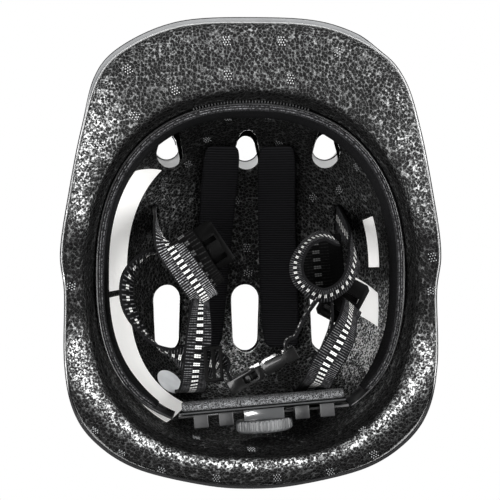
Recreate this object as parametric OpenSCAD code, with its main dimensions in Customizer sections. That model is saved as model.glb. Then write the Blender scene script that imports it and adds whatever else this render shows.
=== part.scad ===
// Child's bicycle helmet, stored standing on its rim.
// X runs across the head, -Y is the visor, +Z is the crown, and the rim rests at Z = 0.

/* [Shell] */
// Length from the visor edge to the nape
shell_len = 249; // [240:1:262]
// Width over the temples
shell_w = 203; // [196:1:214]
// Height of the crown above the rim
shell_h = 146; // [140:1:156]
// Thickness of the moulded outer shell
shell_t = 1.2; // [0.8:0.1:1.8]
// How far the visor stands out from the dome
visor_reach = 16; // [8:1:20]
// Height of the visor's outer edge above the table
visor_lift = 15; // [11:1:18]
// Height of the shell edge above the table along the sides
edge_lift = 8; // [6:0.5:11]
// Rise of the rim over each ear
ear_rise = 6; // [0:0.5:8]

/* [Foam liner] */
// Foam thickness beside the head
side_wall = 17.5; // [14:0.5:20]
// Foam thickness behind the head
nape_wall = 20.5; // [16:0.5:21]
// Foam and visor depth in front of the brow
brow_wall = 42.5; // [38:0.5:46]
// Foam thickness over the crown
crown_wall = 21; // [17:0.5:25]
// Bevel of the rim's inner lip
lip_flare = 4; // [2:0.5:6]

/* [Vents] */
// Width of the front vents
front_vent_w = 16; // [12:0.5:19]
// Length of the front vents
front_vent_l = 21; // [16:0.5:25]
// Width of the rear vents
rear_vent_w = 17; // [12:0.5:19]
// Length of the rear vents
rear_vent_l = 40; // [30:1:44]
// Distance from the middle to each side vent
vent_x = 47.5; // [44:0.5:51]
// Distance from the middle forward to the front vents
front_vent_y = 60; // [56:1:64]
// Distance from the middle back to the rear vents
rear_vent_y = 38; // [34:1:40]

/* [Head ring] */
// Height of the ring band
ring_h = 27; // [20:1:32]
// Height of the ring's lower edge above the table
ring_base = 17; // [14:1:22]
// Thickness of the ring band
ring_t = 1.2; // [0.8:0.1:1.8]
// Thickness of the ring's foam pad
ring_pad_t = 3; // [2:0.25:4]
// Diameter of the pins that hold the ring
ring_pin_d = 5; // [4:0.5:6]

/* [Rear rack] */
// Distance of the dial from the helmet's middle plane, as it hangs
rack_x = 7; // [0:1:9]
// Room between the rack plate and the foam behind the head
rack_room = 20.4; // [19:0.2:23]
// Height of the dial's axis above the table
rack_z = 31; // [28:1:34]
// Slant of the rack as it hangs
rack_slant = 5; // [0:1:7]
// Length of the rack plate
plate_l = 86; // [84:1:92]
// Height of the rack plate
plate_h = 20; // [20:1:24]
// Thickness of the rack plate
plate_t = 1.6; // [1.2:0.1:2]
// Thickness of the rear pad
rear_pad_t = 5.7; // [4:0.1:7]
// Width of a guide clip
clip_w = 7.9; // [6:0.1:9]
// Depth of a guide clip
clip_d = 7.4; // [6:0.1:8]
// Distance from the dial to the inner clips
clip_inner = 20.6; // [20:0.1:22]
// Distance from the dial to the outer clips
clip_outer = 34.2; // [33:0.1:36]

/* [Dial] */
// Diameter of the ribbed knob
knob_d = 31; // [27:0.5:34]
// Thickness of the knob
knob_t = 6.6; // [5:0.1:7.5]
// Number of ribs round the knob
knob_ribs = 40; // [24:1:48]
// Thickness of each sliding tail
tail_t = 1.2; // [0.9:0.1:1.5]
// Height of each sliding tail
tail_h = 16; // [15:0.5:17]
// Pitch radius of the pinion
pinion_r = 4; // [3.6:0.1:4.4]
// Teeth on the pinion
pinion_teeth = 10; // [8:2:12]
// Depth of a rack or pinion tooth
tooth_h = 1.8; // [1.4:0.1:2]
// Diameter of the pinion's shaft
shaft_d = 5; // [4:0.5:6]
// Diameter of the dial screw
screw_d = 2.2; // [2:0.1:2.6]

/* [Crown pads] */
// Width of a crown pad
pad_w = 21; // [18:0.5:23]
// Length of a crown pad
pad_l = 116; // [100:1:120]
// Thickness of a crown pad
pad_t = 7; // [5:0.5:9]
// Distance from the middle to a crown pad
pad_x = 18.8; // [18:0.2:20]
// Slant of each crown pad, wider apart at the rear
pad_splay = 2; // [0:0.5:3]
// Distance from the middle back to the pads' centres
pad_y = -3.5; // [-6:0.5:2]

/* [Straps] */
// Width of the webbing
strap_w = 15; // [13:0.5:16]
// Thickness of the webbing
strap_t = 1.5; // [1.2:0.1:1.8]
// Distance from the middle to the front strap slots
slot_x = 53; // [52:0.5:54]
// Distance from the middle forward to the front strap slots
slot_y = 21; // [20:0.5:22]
// Distance from the middle to the rear strap slots
rear_slot_x = 34; // [33:0.5:35]
// Distance of the rear strap slots ahead of the rack plate
rear_slot_lead = 5.6; // [4.6:0.5:7]
// Width of a strap slot
slot_gap = 4; // [3.2:0.1:5]

/* [Buckle] */
// Length of the buckle socket
socket_l = 20; // [18:0.5:22]
// Thickness of the buckle
buckle_t = 7; // [6.4:0.1:8]
// Height of the buckle as it stands on edge
buckle_h = 21; // [20:0.5:23]
// Wall of the buckle socket
buckle_wall = 1.4; // [1.2:0.1:1.6]
// Length of the tongue outside the socket
tongue_l = 20; // [18:0.5:22]
// Length of each prong inside the socket
prong_l = 13; // [11:0.5:14]

/* [Divider] */
// Length of a strap divider
divider_l = 26; // [24:0.5:30]
// Width of a strap divider
divider_w = 21; // [20:0.5:24]
// Thickness of a strap divider
divider_t = 3.4; // [3:0.1:4]
// Diameter of the divider's lever pin
divider_pin_d = 2; // [1.6:0.1:2.4]

/* [Labels] */
// Width of the long blank labels
label_w = 24; // [18:1:28]
// Thickness of a label
label_t = 0.3; // [0.2:0.05:0.4]
// Diameter of the blank size disc
disc_d = 15; // [12:0.5:18]

/* [Hidden] */

// Middle of the dome behind the helmet's centre
dome_y = 10;
crown = [0, dome_y];
dome_power = 2.5;
cavity_power = 2.05;
front_power = 2.3;
rear_power = 2.6;
// Half sizes of the dome and of the cavity, from its middle
dome_half = shell_w / 2 - shell_t - 1;
dome_front = shell_len / 2 - visor_reach + dome_y;
dome_rear = shell_len / 2 - shell_t - dome_y;
cavity_half = shell_w / 2 - side_wall;
cavity_front = shell_len / 2 - brow_wall + dome_y;
cavity_rear = shell_len / 2 - nape_wall - dome_y;
cavity_top = shell_h - shell_t - crown_wall;
foam_top = shell_h - shell_t;
lip_lift = edge_lift - 1;
// The shell's wall stands level up to its shoulder, and above it points away from its centre
shoulder_z = 45;
skin_centre_z = 30;
// Start of the visor ahead of the middle, the run over which it rises, and the rim's rise under it
brow_start = 60;
brow_run = 50;
brow_lip = 3;
brow_crest = 6;
// Ear arch: its middle, its reach to each end, and where it starts out from the middle plane
ear_y = 15;
ear_reach = 40;
ear_side = 60;
ear_run = 25;
// Side vents lean outwards about this height, where their distance from the middle is measured
vent_lean = 3;
vent_pivot = 130;
vent_base = 52;
vent_taper = 0.7;
rear_vent_taper = 0.9;
// Running gap between pieces of different bodies
gap = 0.3;
// Clearance between the foam's faceted wall and what lies along it
wall_gap = 0.7;
// Flat depth of the rim where it rests
rim_flat = 0.8;
// Stations between two points of the rim outline
rim_steps = 3;
outer_rings = 12;
under_rings = 6;
inner_rings = 12;

// Ring: its lower and upper ends of travel round the head, and its rear reach
ring_start = 118;
ring_stop = 413;
rack_y = shell_len / 2 - nape_wall - rack_room;
ring_rear = rack_y + 3.4;
ring_mid = ring_base + ring_h / 2;
pin_angles = [180, 236, 304, 360];
ring_pin_z = ring_mid + ring_h * 0.2;
ring_pin_reach = 7;
ring_pin_l = ring_t + ring_pin_reach;
ring_pin_start = 0.5;
// Run over which the band widens from a tail's height to its own
ring_widen = 20;
ring_pad_ends = 2;
function ring_half(a) = mix(tail_h, ring_h, ease(min(a - ring_start, ring_stop - a) / ring_widen)) / 2;

// Hook fasteners of the crown pads
hook_w = 13;
hook_l = 20;
hook_t = 0.4;
hook_spread = 70;
// Clearance between a crown pad and its fasteners
pad_gap = 0.3;

// Labels lie this far off the foam's faceted wall
label_gap = 0.45;
label_low = ring_base + ring_h + 3;
rear_label_drop = 14;
strip_label_w = 10;
strip_label_rise = 22;
strip_label_low = label_low + strip_label_rise;
square_label_w = 20;
square_label_rise = 15;
square_label_low = label_low + square_label_rise;
label_tilt = 4;
// Rise of the wall for each millimetre along it
wall_slope = 0.86;
disc_angle = 127.5;
disc_rise = 30;
disc_height = label_low + disc_rise;

// Dial and tails
run_gap = 0.05;
travel_teeth = 5;
tooth_pitch = 2 * PI * pinion_r / pinion_teeth;
tooth_w = tooth_pitch / 2 - 0.25;
tooth_flare = tooth_h / 2 * tan(20);
travel = travel_teeth * tooth_pitch;
pinion_tip = pinion_r + tooth_h / 2;
pinion_l = 2 * tail_t + gap;
window_near = pinion_tip + 2 * gap;
window_far = travel + window_near;
window_top = pinion_tip + gap;
channel_d = 2 * tail_t + 3 * gap + 0.1;
channel_h = tail_h + 2 * gap;
tail_end = clip_outer + 1.5 * clip_w;
tail_inner = pinion_tip + 4.5;
pad_over = 1;
clip_groove_d = 1.2;
clip_groove_h = 8;
housing_w = 21.6;
housing_wall = 2.4;
housing_d = channel_d + housing_wall;
knob_y = housing_d + gap;
knob_seat = 3;
knob_edge = 1.4;
knob_lip = 4;
knob_dish = 1;
rib_depth = 0.7;
spring_r = 11;
spring_w = 2.4;
spring_t = 0.8;
screw_head_t = 1.4;
head_seat = knob_t - knob_dish - screw_head_t;
slot_cut = 0.6;
spring_cut = 2;
screw_l = 6;

// Strap slots start at this height, and the anchors lie across them inside the foam
slot_base = 31;
rear_slot_y = rack_y - rear_slot_lead;
slot_l = strap_w + 2;
anchor_room = 13.8;
rear_anchor_room = 19.8;
anchor_z = dome_z([slot_x, -slot_y]) - anchor_room;
rear_anchor_z = dome_z([rear_slot_x, rear_slot_y]) - rear_anchor_room;
anchor_h = 3;
strap_drop = anchor_h / 2 + 0.7;

// Buckle, standing on edge among the straps
buckle_x = 5.8;
buckle_y = 61.8;
buckle_z = buckle_h / 2 + 1;
buckle_turn = 28.8;
blade_t = buckle_t - 2 * buckle_wall - 2 * gap;
prong_z = 6;
prong_root = 1.6;
prong_t = 2;
catch_l = 6;
catch_h = buckle_h / 2 - buckle_wall - gap - prong_z + prong_t / 2;
press_inset = 1.5;
press_l = 8;
socket_back = 6;
grip_x = 5;
grip_w = 3;
grip_t = 0.4;
tongue_round = 3;
tongue_head_l = 10;
tongue_waist = 13.6;
waist_t = 4.2;
guide_l = 11;
guide_h = 4.8;
socket_slot = -socket_l + 3;
tongue_slot = 16.4;
strap_slot_w = 2.4;

// Slider under the left chin strap
slider_x = -20.2;
slider_y = 58.5;
slider_z = 5.4;
slider_turn = -4;
slider_l = 10;
slider_t = 2.6;
slider_bar = 2;

divider_x_left = 24;
divider_y_left = -2;
divider_z_left = 18;
divider_x_right = 50;
divider_y_right = 25;
divider_z_right = 25.5;
divider_turn_left = 56;
divider_turn_right = 118;
divider_slots = [-3.1, 7.8];
divider_slot_w = 2.8;
divider_corner = 2;
lug_w = 2.4;
lug_l = 4;
lever_x = 9.4;
lever_lift = 2.4;
lever_w = divider_w - 2 * (lug_w + gap);
lever_l = 18.7;
lever_t = 2;
lever_eye = 0.9;

// Straps: each stop is a point and the direction across the strap there
front_left_stops = [
    [[-slot_x, -slot_y, anchor_z - strap_drop], [0, 1, 0]], [[-slot_x, -slot_y, 92], [0, 1, 0]], [[-52, -18, 62], [0.2, 1, 0]],
    [[-50, -14, 34], [0.3, 1, 0]], [[-47, -8, 16], [0.6, 0.6, 0]], [[-41, 0, 8], [0.8, -0.3, 0]],
    [[-34, 10, 6], [0.83, -0.55, 0]], [[-27, 20, 5.5], [0.83, -0.55, 0]], [[-24, 25, 5.5], [0.83, -0.55, 0]]];
rear_left_stops = [
    [[-rear_slot_x, rear_slot_y, rear_anchor_z - strap_drop], [1, 0, 0]], [[-rear_slot_x, rear_slot_y, 84], [1, 0, 0]],
    [[-rear_slot_x, rear_slot_y - 0.3, 68], [1, 0, 0]], [[-34, rack_y - 8.6, 34], [1, 0, 0]],
    [[-33.4, rack_y - 12.6, 10], [1, 0, 0]],
    [[-33, rack_y - 21.6, 3.5], [1, 0, 0]], [[-30, 44, 3], [1, 0, 0]], [[-28, 30, 3], [1, 0, 0]], [[-27, 24, 3], [1, 0, 0]]];
chin_left_stops = [
    [[-38.4, -1.6, 25.5], [0, 0, 1]], [[-47, -1, 25], [0.1, 0, 1]], [[-57, 1.5, 21], [0.3, 0, 1]],
    [[-66, 13, 17], [0.4, 0, 1]], [[-65, 30, 15], [0.4, 0, 1]], [[-54, 46, 14], [0.2, 0.1, 1]],
    [[-43, 53, 12.5], [0.1, 0.4, 1]],
    [[-33, 56, 10.4], [0, 1, 0.12]], [[-21, 58.5, 9.6], [-0.1, 1, 0.12]], [[-14.5, 61.5, 12.2], [0, 0.3, 1]],
    [[-10.9, 66.6, 12], [0, 0, 1]], [[-9.2, 69.8, 11.5], [0, 0, 1]]];
front_right_stops = [
    [[slot_x, -slot_y, anchor_z - strap_drop], [0, 1, 0]], [[slot_x, -slot_y, 92], [0, 1, 0]], [[54, -14, 62], [0, 1, 0]],
    [[56, -6, 34], [0, 0.8, 0.6]], [[55, 4, 16], [0, 0.1, 1]], [[50, 16, 11], [0, 0, 1]], [[38.4, 22.3, 10], [0, 0, 1]],
    [[27, 16, 10], [0, 0, 1]], [[24, 6, 10], [0, 0, 1]], [[29, -4.5, 10], [0, 0, 1]]];
rear_right_stops = [
    [[rear_slot_x, rear_slot_y, rear_anchor_z - strap_drop], [1, 0, 0]], [[rear_slot_x, rear_slot_y, 84], [1, 0, 0]],
    [[rear_slot_x, rear_slot_y - 0.3, 68], [1, 0, 0]], [[34.5, rack_y - 11.6, 34], [1, 0.1, 0]],
    [[36, rack_y - 15.6, 13], [0.9, 0.4, 0]],
    [[39, rack_y - 23.6, 4.5], [0.83, 0.55, 0]], [[46.3, 48.2, 4], [0.83, 0.55, 0]], [[53, 37, 7], [0.9, 0.3, 0]],
    [[54, 30, 15], [0.95, 0.2, 0]], [[54, 27.5, 23.2], [0.95, 0.2, 0]]];
tail_right_stops = [
    [[43.5, 26, 15.5], [0.1, 0, 1]], [[43, 38, 14.5], [0, 0, 1]], [[39, 49, 14.5], [0, 0, 1]], [[33, 58, 17], [0, 0.3, 1]]];
chin_right_stops = [
    [[35.6, 23.75, 10], [0, 0, 1]], [[31, 30, 11], [0, 0, 1]], [[28, 34.6, 11.5], [0, 0, 1]], [[23.4, 41.7, 11.5], [0, 0, 1]]];
// End of the right chin strap in the tongue's slot, in the buckle's own frame
loop_stops = [
    [[tongue_slot, 1.5, 0], [0, 0, 1]], [[tongue_slot, -3.5, 0], [0, 0, 1]], [[tongue_slot + 2, -6.8, 0], [0, 0, 1]],
    [[tongue_slot + 5, -7.3, 0], [0, 0, 1]], [[tongue_slot + 8, -7.3, 0], [0, 0, 1]]];

// Half of the rim outline, from the visor's middle to the nape, in half widths and half lengths
rim_half = [[0, -1], [0.385, -0.98], [0.675, -0.876], [0.815, -0.742], [0.895, -0.506], [0.958, -0.233],
    [1, 0], [0.98, 0.17], [0.974, 0.48], [0.924, 0.675], [0.802, 0.811], [0.592, 0.916], [0.256, 0.983], [0, 1]];
rim_loop = concat(rim_half, [for (i = [len(rim_half) - 2:-1:1]) [-rim_half[i].x, rim_half[i].y]]);

function mix(a, b, s) = a + (b - a) * s;
function clamp01(s) = min(max(s, 0), 1);
function ease(s) = let (c = clamp01(s)) c * c * (3 - 2 * c);
function unit(v) = v / norm(v);
function spline(a, b, c, d, s) =
    0.5 * (2 * b + (c - a) * s + (2 * a - 5 * b + 4 * c - d) * s * s + (3 * b - a - 3 * c + d) * s * s * s);

// Points round the rim, in millimetres
function rim_points() = let (n = len(rim_loop)) [for (i = [0:n - 1], k = [0:rim_steps - 1])
    let (q = spline(rim_loop[(i + n - 1) % n], rim_loop[i], rim_loop[(i + 1) % n], rim_loop[(i + 2) % n],
        k / rim_steps))
    [q.x * shell_w / 2, q.y * shell_len / 2]];

// Radius of a rounded oval in direction d, with its own front and rear half lengths
function oval(d, half_w, front, rear) =
    let (n = d.y < 0 ? front_power : rear_power)
    1 / pow(pow(abs(d.x) / half_w, n) + pow(abs(d.y) / (d.y < 0 ? front : rear), n), 1 / n);

// Share of the visor and of the ear arch at a point of the rim
function brow(p) = ease((-p.y - brow_start) / brow_run);
function ear(p) = ease(clamp01(1 - abs(p.y - ear_y) / ear_reach)) * ease((abs(p.x) - ear_side) / ear_run);
function edge_z(p) = edge_lift + (visor_lift - edge_lift) * brow(p) + ear_rise * ear(p);
function lip_z(p) = lip_lift + brow_lip * brow(p) + ear_rise * ear(p);
function crest_z(p) = brow_crest * brow(p) + (ear_rise + 1) * ear(p) - rim_flat;

// Share of full width left at a share of the height
function dome_share(up, power) = pow(1 - pow(clamp01(up), power), 1 / power);
function level(k, n) = sin(90 * pow(k / n, 1.25));

// Foam's outer face: share of height up, over the rim point p
function foam_outer(p, up) =
    let (c = p - crown, r = norm(c), d = c / r, s = 1 - pow(1 - clamp01(up / 0.2), 2.5),
        w = mix(r - shell_t, oval(d, dome_half, dome_front, dome_rear), s) * dome_share(up, dome_power))
    [d.x * w, dome_y + d.y * w, mix(edge_z(p), foam_top, up)];
// Shell's outer face, one wall further out
function shell_outer(p, up) =
    let (q = foam_outer(p, up), v = q - [0, dome_y, min(q.z, shoulder_z)], n = norm(v))
    n < 1 ? q + [0, 0, shell_t] : q + (q.z > shoulder_z ? unit(q - [0, dome_y, skin_centre_z]) : v / n) * shell_t;
// Under side of the rim from the shell's edge, u = 0, to the inner lip, u = 1
function rim_under(p, u) =
    let (c = p - crown, r = norm(c), d = c / r, w = (1 - cos(180 * u)) / 2,
        lip = oval(d, cavity_half, cavity_front, cavity_rear) + lip_flare,
        dip = (edge_z(p) + lip_z(p)) / 2 - crest_z(p),
        e = mix(r - shell_t, lip, w))
    [d.x * e, dome_y + d.y * e, max(0, mix(edge_z(p), lip_z(p), w) - dip * pow(sin(180 * u), 0.9))];
// Wall of the head cavity in direction d at a share of its height, drawn in by inset
function cavity_radius(d, up) =
    (oval(d, cavity_half, cavity_front, cavity_rear) + lip_flare * pow(1 - clamp01(up / 0.08), 2))
    * dome_share(up, cavity_power);
function foam_inner(p, up) =
    let (d = unit(p - crown), w = cavity_radius(d, up))
    [d.x * w, dome_y + d.y * w, mix(lip_z(p), cavity_top, up)];
// Height of the cavity's wall over a point of the plan
function cavity_z(q) =
    let (c = q - crown, r = norm(c), share = r < 0.01 ? 0 : r / cavity_radius(c / r, 0.5) * dome_share(0.5, cavity_power))
    mix(lip_lift, cavity_top, pow(1 - pow(clamp01(share), cavity_power), 1 / cavity_power));
// Height of the foam's outer face over a point of the plan
function dome_z(q) =
    let (c = q - crown, r = norm(c), share = r / oval(c / r, dome_half, dome_front, dome_rear))
    mix(edge_lift, foam_top, pow(1 - pow(clamp01(share), dome_power), 1 / dome_power));
// Point on the cavity's wall at an angle round the head and a height, drawn in by inset
function wall_point(a, z, inset) =
    let (d = [cos(a), sin(a)], up = (z - lip_lift) / (cavity_top - lip_lift), w = cavity_radius(d, up) - inset)
    [d.x * w, dome_y + d.y * w, z];

// Closed solid through rings of equal count, with a pole at each end.
// Rows from turn on are split along their other diagonal, so that two skins share their facets.
module loft(top_pole, rings, end_pole, turn = 1000) {
    n = len(rings[0]);
    m = len(rings);
    points = concat([for (r = rings, q = r) q], [top_pole, end_pole]);
    faces = concat(
        [for (j = [0:n - 1]) [n * m, (j + 1) % n, j]],
        [for (i = [0:m - 2], j = [0:n - 1])
            [i * n + j, i * n + (j + 1) % n, (i + 1) * n + (i < turn ? (j + 1) % n : j)]],
        [for (i = [0:m - 2], j = [0:n - 1])
            [i * n + (i < turn ? j : (j + 1) % n), (i + 1) * n + (j + 1) % n, (i + 1) * n + j]],
        [for (j = [0:n - 1]) [(m - 1) * n + j, (m - 1) * n + (j + 1) % n, n * m + 1]]);
    polyhedron(points, faces, convexity = 6);
}

// Round-ended outline, wider at one end, centred on its length
module slot_outline(w_front, w_rear, l) {
    steps = 8;
    polygon(concat(
        [for (k = [0:steps]) let (a = 180 + 180 * k / steps) [cos(a) * w_front / 2, -l / 2 + w_front / 2 + sin(a) * w_front / 2]],
        [for (k = [0:steps]) let (a = 180 * k / steps) [cos(a) * w_rear / 2, l / 2 - w_rear / 2 + sin(a) * w_rear / 2]]));
}

// Cut of one vent, leaning outwards about the pivot height
module vent_cut(x, y, w_front, w_rear, l, lean) {
    translate([x, y, vent_pivot]) rotate([0, lean, 0]) translate([0, 0, vent_base - vent_pivot])
        linear_extrude(height = shell_h) slot_outline(w_front, w_rear, l);
}

module vents() {
    for (s = [-1, 0, 1]) {
        vent_cut(s * vent_x, -front_vent_y, front_vent_w * vent_taper, front_vent_w, front_vent_l, s * vent_lean);
        vent_cut(s * vent_x, rear_vent_y, rear_vent_w, rear_vent_w * rear_vent_taper, rear_vent_l, s * vent_lean);
    }
}

// Slots that the straps pass up through
module strap_slots() {
    for (s = [-1, 1]) {
        translate([s * slot_x - slot_gap / 2, -slot_y - slot_l / 2, slot_base]) cube([slot_gap, slot_l, shell_h]);
        translate([s * rear_slot_x - slot_l / 2, rear_slot_y - slot_gap / 2, slot_base]) cube([slot_l, slot_gap, shell_h]);
    }
}

module outer_shell() color("whitesmoke") {
    rim = rim_points();
    difference() {
        loft([0, dome_y, shell_h],
            concat([for (k = [outer_rings - 1:-1:0]) [for (p = rim) shell_outer(p, level(k, outer_rings))]],
                [for (k = [0:outer_rings - 1]) [for (p = rim) foam_outer(p, level(k, outer_rings))]]),
            [0, dome_y, foam_top], outer_rings);
        vents();
    }
}

module eps_liner() color("dimgray") {
    rim = rim_points();
    difference() {
        loft([0, dome_y, foam_top],
            concat([for (k = [outer_rings - 1:-1:0]) [for (p = rim) foam_outer(p, level(k, outer_rings))]],
                [for (k = [1:under_rings - 1]) [for (p = rim) rim_under(p, k / under_rings)]],
                [for (k = [0:inner_rings - 1]) [for (p = rim) foam_inner(p, level(k, inner_rings))]]),
            [0, dome_y, cavity_top]);
        vents();
        strap_slots();
        ring_pin_bores();
    }
}

// Radius of the ring's outer face, which leaves the wall behind the ears
function ring_point(a, z, inset) =
    let (d = [cos(a), sin(a)], up = (z - lip_lift) / (cavity_top - lip_lift),
        w = oval(d, cavity_half, cavity_front, ring_rear) * dome_share(up, cavity_power) - wall_gap - inset)
    [d.x * w, dome_y + d.y * w, z];

// Closed sheet between two grids of points, where rows, columns and front minus back are right-handed
module sheet(front, back) {
    n = len(front);
    m = len(front[0]);
    points = concat([for (r = front, q = r) q], [for (r = back, q = r) q]);
    b = n * m;
    quads = concat(
        [for (i = [0:n - 2], j = [0:m - 2]) [i * m + j, i * m + j + 1, (i + 1) * m + j + 1, (i + 1) * m + j]],
        [for (i = [0:n - 2], j = [0:m - 2])
            [b + i * m + j, b + (i + 1) * m + j, b + (i + 1) * m + j + 1, b + i * m + j + 1]],
        [for (i = [0:n - 2]) [i * m, (i + 1) * m, b + (i + 1) * m, b + i * m]],
        [for (i = [0:n - 2]) [i * m + m - 1, b + i * m + m - 1, b + (i + 1) * m + m - 1, (i + 1) * m + m - 1]],
        [for (j = [0:m - 2]) [j, b + j, b + j + 1, j + 1]],
        [for (j = [0:m - 2]) let (e = (n - 1) * m + j) [e, e + 1, b + e + 1, b + e]]);
    polyhedron(points, concat([for (q = quads) [q[0], q[1], q[2]]], [for (q = quads) [q[0], q[2], q[3]]]),
        convexity = 6);
}

// Smooth route through hand-set points, with steps between each two
function route(points, steps) = let (n = len(points)) concat(
    [for (i = [0:n - 2], k = [0:steps - 1])
        spline(points[max(i - 1, 0)], points[i], points[i + 1], points[min(i + 2, n - 1)], k / steps)],
    [points[n - 1]]);

// Webbing along a route: stops are pairs of a point and the direction across the strap
module webbing(stops, steps = 3) {
    p = route([for (s = stops) s[0]], steps);
    side = route([for (s = stops) s[1]], steps);
    n = len(p);
    tangent = [for (i = [0:n - 1]) unit(p[min(i + 1, n - 1)] - p[max(i - 1, 0)])];
    across = [for (i = [0:n - 1]) unit(side[i] - (side[i] * tangent[i]) * tangent[i])];
    face = [for (i = [0:n - 1]) cross(tangent[i], across[i])];
    sheet([for (i = [0:n - 1]) [for (s = [-0.5, 0.5]) p[i] + across[i] * s * strap_w + face[i] * strap_t / 2]],
        [for (i = [0:n - 1]) [for (s = [-0.5, 0.5]) p[i] + across[i] * s * strap_w - face[i] * strap_t / 2]]);
}

// Label that follows the wall between two angles, from its lower edge's height at each end
module wall_patch(angles, heights, width) {
    rows = 10;
    cols = 5;
    rise = wall_slope * width;
    grid = function(depth) [for (i = [0:rows]) [for (j = [0:cols])
        wall_point(mix(angles[0], angles[1], i / rows), mix(heights[0], heights[1], i / rows) + rise * j / cols, depth)]];
    sheet(grid(label_gap), grid(label_gap + label_t));
}

// Grid of points on the ring between two stations, each at its depth off the ring's outer face
ring_rows = 48;
ring_cols = 4;
function ring_grid(first, last, depth) = [for (i = [first:last])
    let (a = mix(ring_start, ring_stop, i / ring_rows), h = 2 * ring_half(a))
    [for (j = [0:ring_cols]) ring_point(a, ring_mid + (j / ring_cols - 0.5) * h, depth(2 * j / ring_cols - 1))]];

module ring_band() color("black") difference() {
    sheet(ring_grid(0, ring_rows, function(v) 0), ring_grid(0, ring_rows, function(v) ring_t));
    ring_pin_bores();
}

module ring_pad() color("black") sheet(
    ring_grid(ring_pad_ends, ring_rows - ring_pad_ends, function(v) ring_t),
    ring_grid(ring_pad_ends, ring_rows - ring_pad_ends, function(v) ring_t + ring_pad_t * (1 - 0.5 * pow(abs(v), 4))));

// One pin's frame: on the ring band, pointing out into the foam
module at_ring_pins() {
    for (a = pin_angles) {
        p = ring_point(a, ring_pin_z, ring_t);
        translate(p) rotate([0, 90, a]) children();
    }
}

module ring_pin_bores() {
    at_ring_pins() translate([0, 0, -1]) cylinder(d = ring_pin_d, h = ring_pin_l + 2, $fn = 24);
}

module ring_pins() color("black") at_ring_pins() translate([0, 0, ring_pin_start])
    cylinder(d = ring_pin_d, h = ring_pin_l - ring_pin_start, $fn = 24);

// Point under a crown pad, u across and v along its half sizes
function pad_spot(side, u, v) =
    [side * (pad_x + v * pad_l / 2 * tan(pad_splay)) + u * pad_w / 2, pad_y + v * pad_l / 2];

// A crown pad: flat against its fasteners, crowned towards the head and drawn in at its edges
module crown_pad(side) {
    rows = 16;
    cols = 6;
    spot = function(u, v) pad_spot(side, u * sqrt(1 - 0.75 * pow(abs(v), 9)), v);
    top = function(q) cavity_z(q) - wall_gap - hook_t - pad_gap;
    swell = function(u, v) pad_t * (0.35 + 0.65 * (1 - pow(abs(u), 4)) * (1 - pow(abs(v), 8)));
    grid = function(full) [for (i = [0:rows]) [for (j = [0:cols])
        let (u = 2 * j / cols - 1, v = 2 * i / rows - 1, q = spot(u, v)) [q.x, q.y, top(q) - swell(u, v) * full]]];
    sheet(grid(1), grid(0));
}

module crown_pad_left() color("black") crown_pad(-1);
module crown_pad_right() color("black") crown_pad(1);

// Two hook fasteners between a crown pad and the foam
module pad_hooks(side) {
    rows = 3;
    cols = 3;
    for (end = [-1, 1]) {
        grid = function(drop) [for (i = [0:rows]) [for (j = [0:cols])
            let (u = (2 * j / cols - 1) * hook_w / pad_w, v = (end * hook_spread + (2 * i / rows - 1) * hook_l) / pad_l,
                q = pad_spot(side, u, v)) [q.x, q.y, cavity_z(q) - drop]]];
        sheet(grid(wall_gap + hook_t), grid(wall_gap));
    }
}

module crown_hooks_left() color("dimgray") pad_hooks(-1);
module crown_hooks_right() color("dimgray") pad_hooks(1);

module label_left_front() color("white") wall_patch([172, 223], [label_low, label_low + label_tilt], label_w);
module label_left_rear() color("white") wall_patch([122, 169], [label_low - rear_label_drop, label_low], label_w);
module label_right_strip() color("white") wall_patch([-24, -2], [strip_label_low, strip_label_low], strip_label_w);
module label_right_square() color("white")
    wall_patch([9, 26], [square_label_low + label_tilt, square_label_low], square_label_w);

// Round label that follows the wall
module size_disc() color("silver") {
    steps = 8;
    r = disc_d / 2;
    p = wall_point(disc_angle, disc_height, 0);
    turn = 2 * asin(r / 2 / norm([p.x, p.y - dome_y]));
    grid = function(depth) [for (i = [0:steps]) [for (j = [0:steps]) let (u = 2 * i / steps - 1, v = 2 * j / steps - 1)
        wall_point(disc_angle + turn * u * sqrt(1 - v * v / 2),
            disc_height + wall_slope * r * v * sqrt(1 - u * u / 2), depth)]];
    sheet(grid(label_gap), grid(label_gap + label_t));
}

module rack() {
    translate([rack_x, rack_y, rack_z]) rotate([0, 0, -rack_slant]) children();
}

module rear_pad() color("black") rack() {
    rows = 12;
    cols = 6;
    grid = function(full) [for (i = [0:rows]) [for (j = [0:cols])
        let (u = 2 * i / rows - 1, v = 2 * j / cols - 1,
            swell = rear_pad_t * (0.5 + 0.5 * (1 - pow(abs(u), 10)) * (1 - pow(abs(v), 4))))
        [u * (plate_l / 2 + pad_over) * (1 - 0.03 * pow(abs(v), 4)), -plate_t - swell * full, v * (plate_h / 2 + pad_over)]]];
    sheet(grid(1), grid(0));
}

module rear_plate() color("black") rack() difference() {
    translate([-plate_l / 2, -plate_t, -plate_h / 2]) cube([plate_l, plate_t, plate_h]);
    rotate([90, 0, 0]) translate([0, 0, -1]) cylinder(d = shaft_d, h = plate_t + 2, $fn = 48);
}

module rack_clips() color("dimgray") rack() for (x = [-clip_outer, -clip_inner, clip_inner, clip_outer])
    translate([x - clip_w / 2, 0, -plate_h / 2]) difference() {
        cube([clip_w, clip_d, plate_h]);
        translate([-1, -1, (plate_h - channel_h) / 2]) cube([clip_w + 2, channel_d + 1, channel_h]);
        translate([-1, clip_d - clip_groove_d, (plate_h - clip_groove_h) / 2]) cube([clip_w + 2, clip_d, clip_groove_h]);
    }

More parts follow.
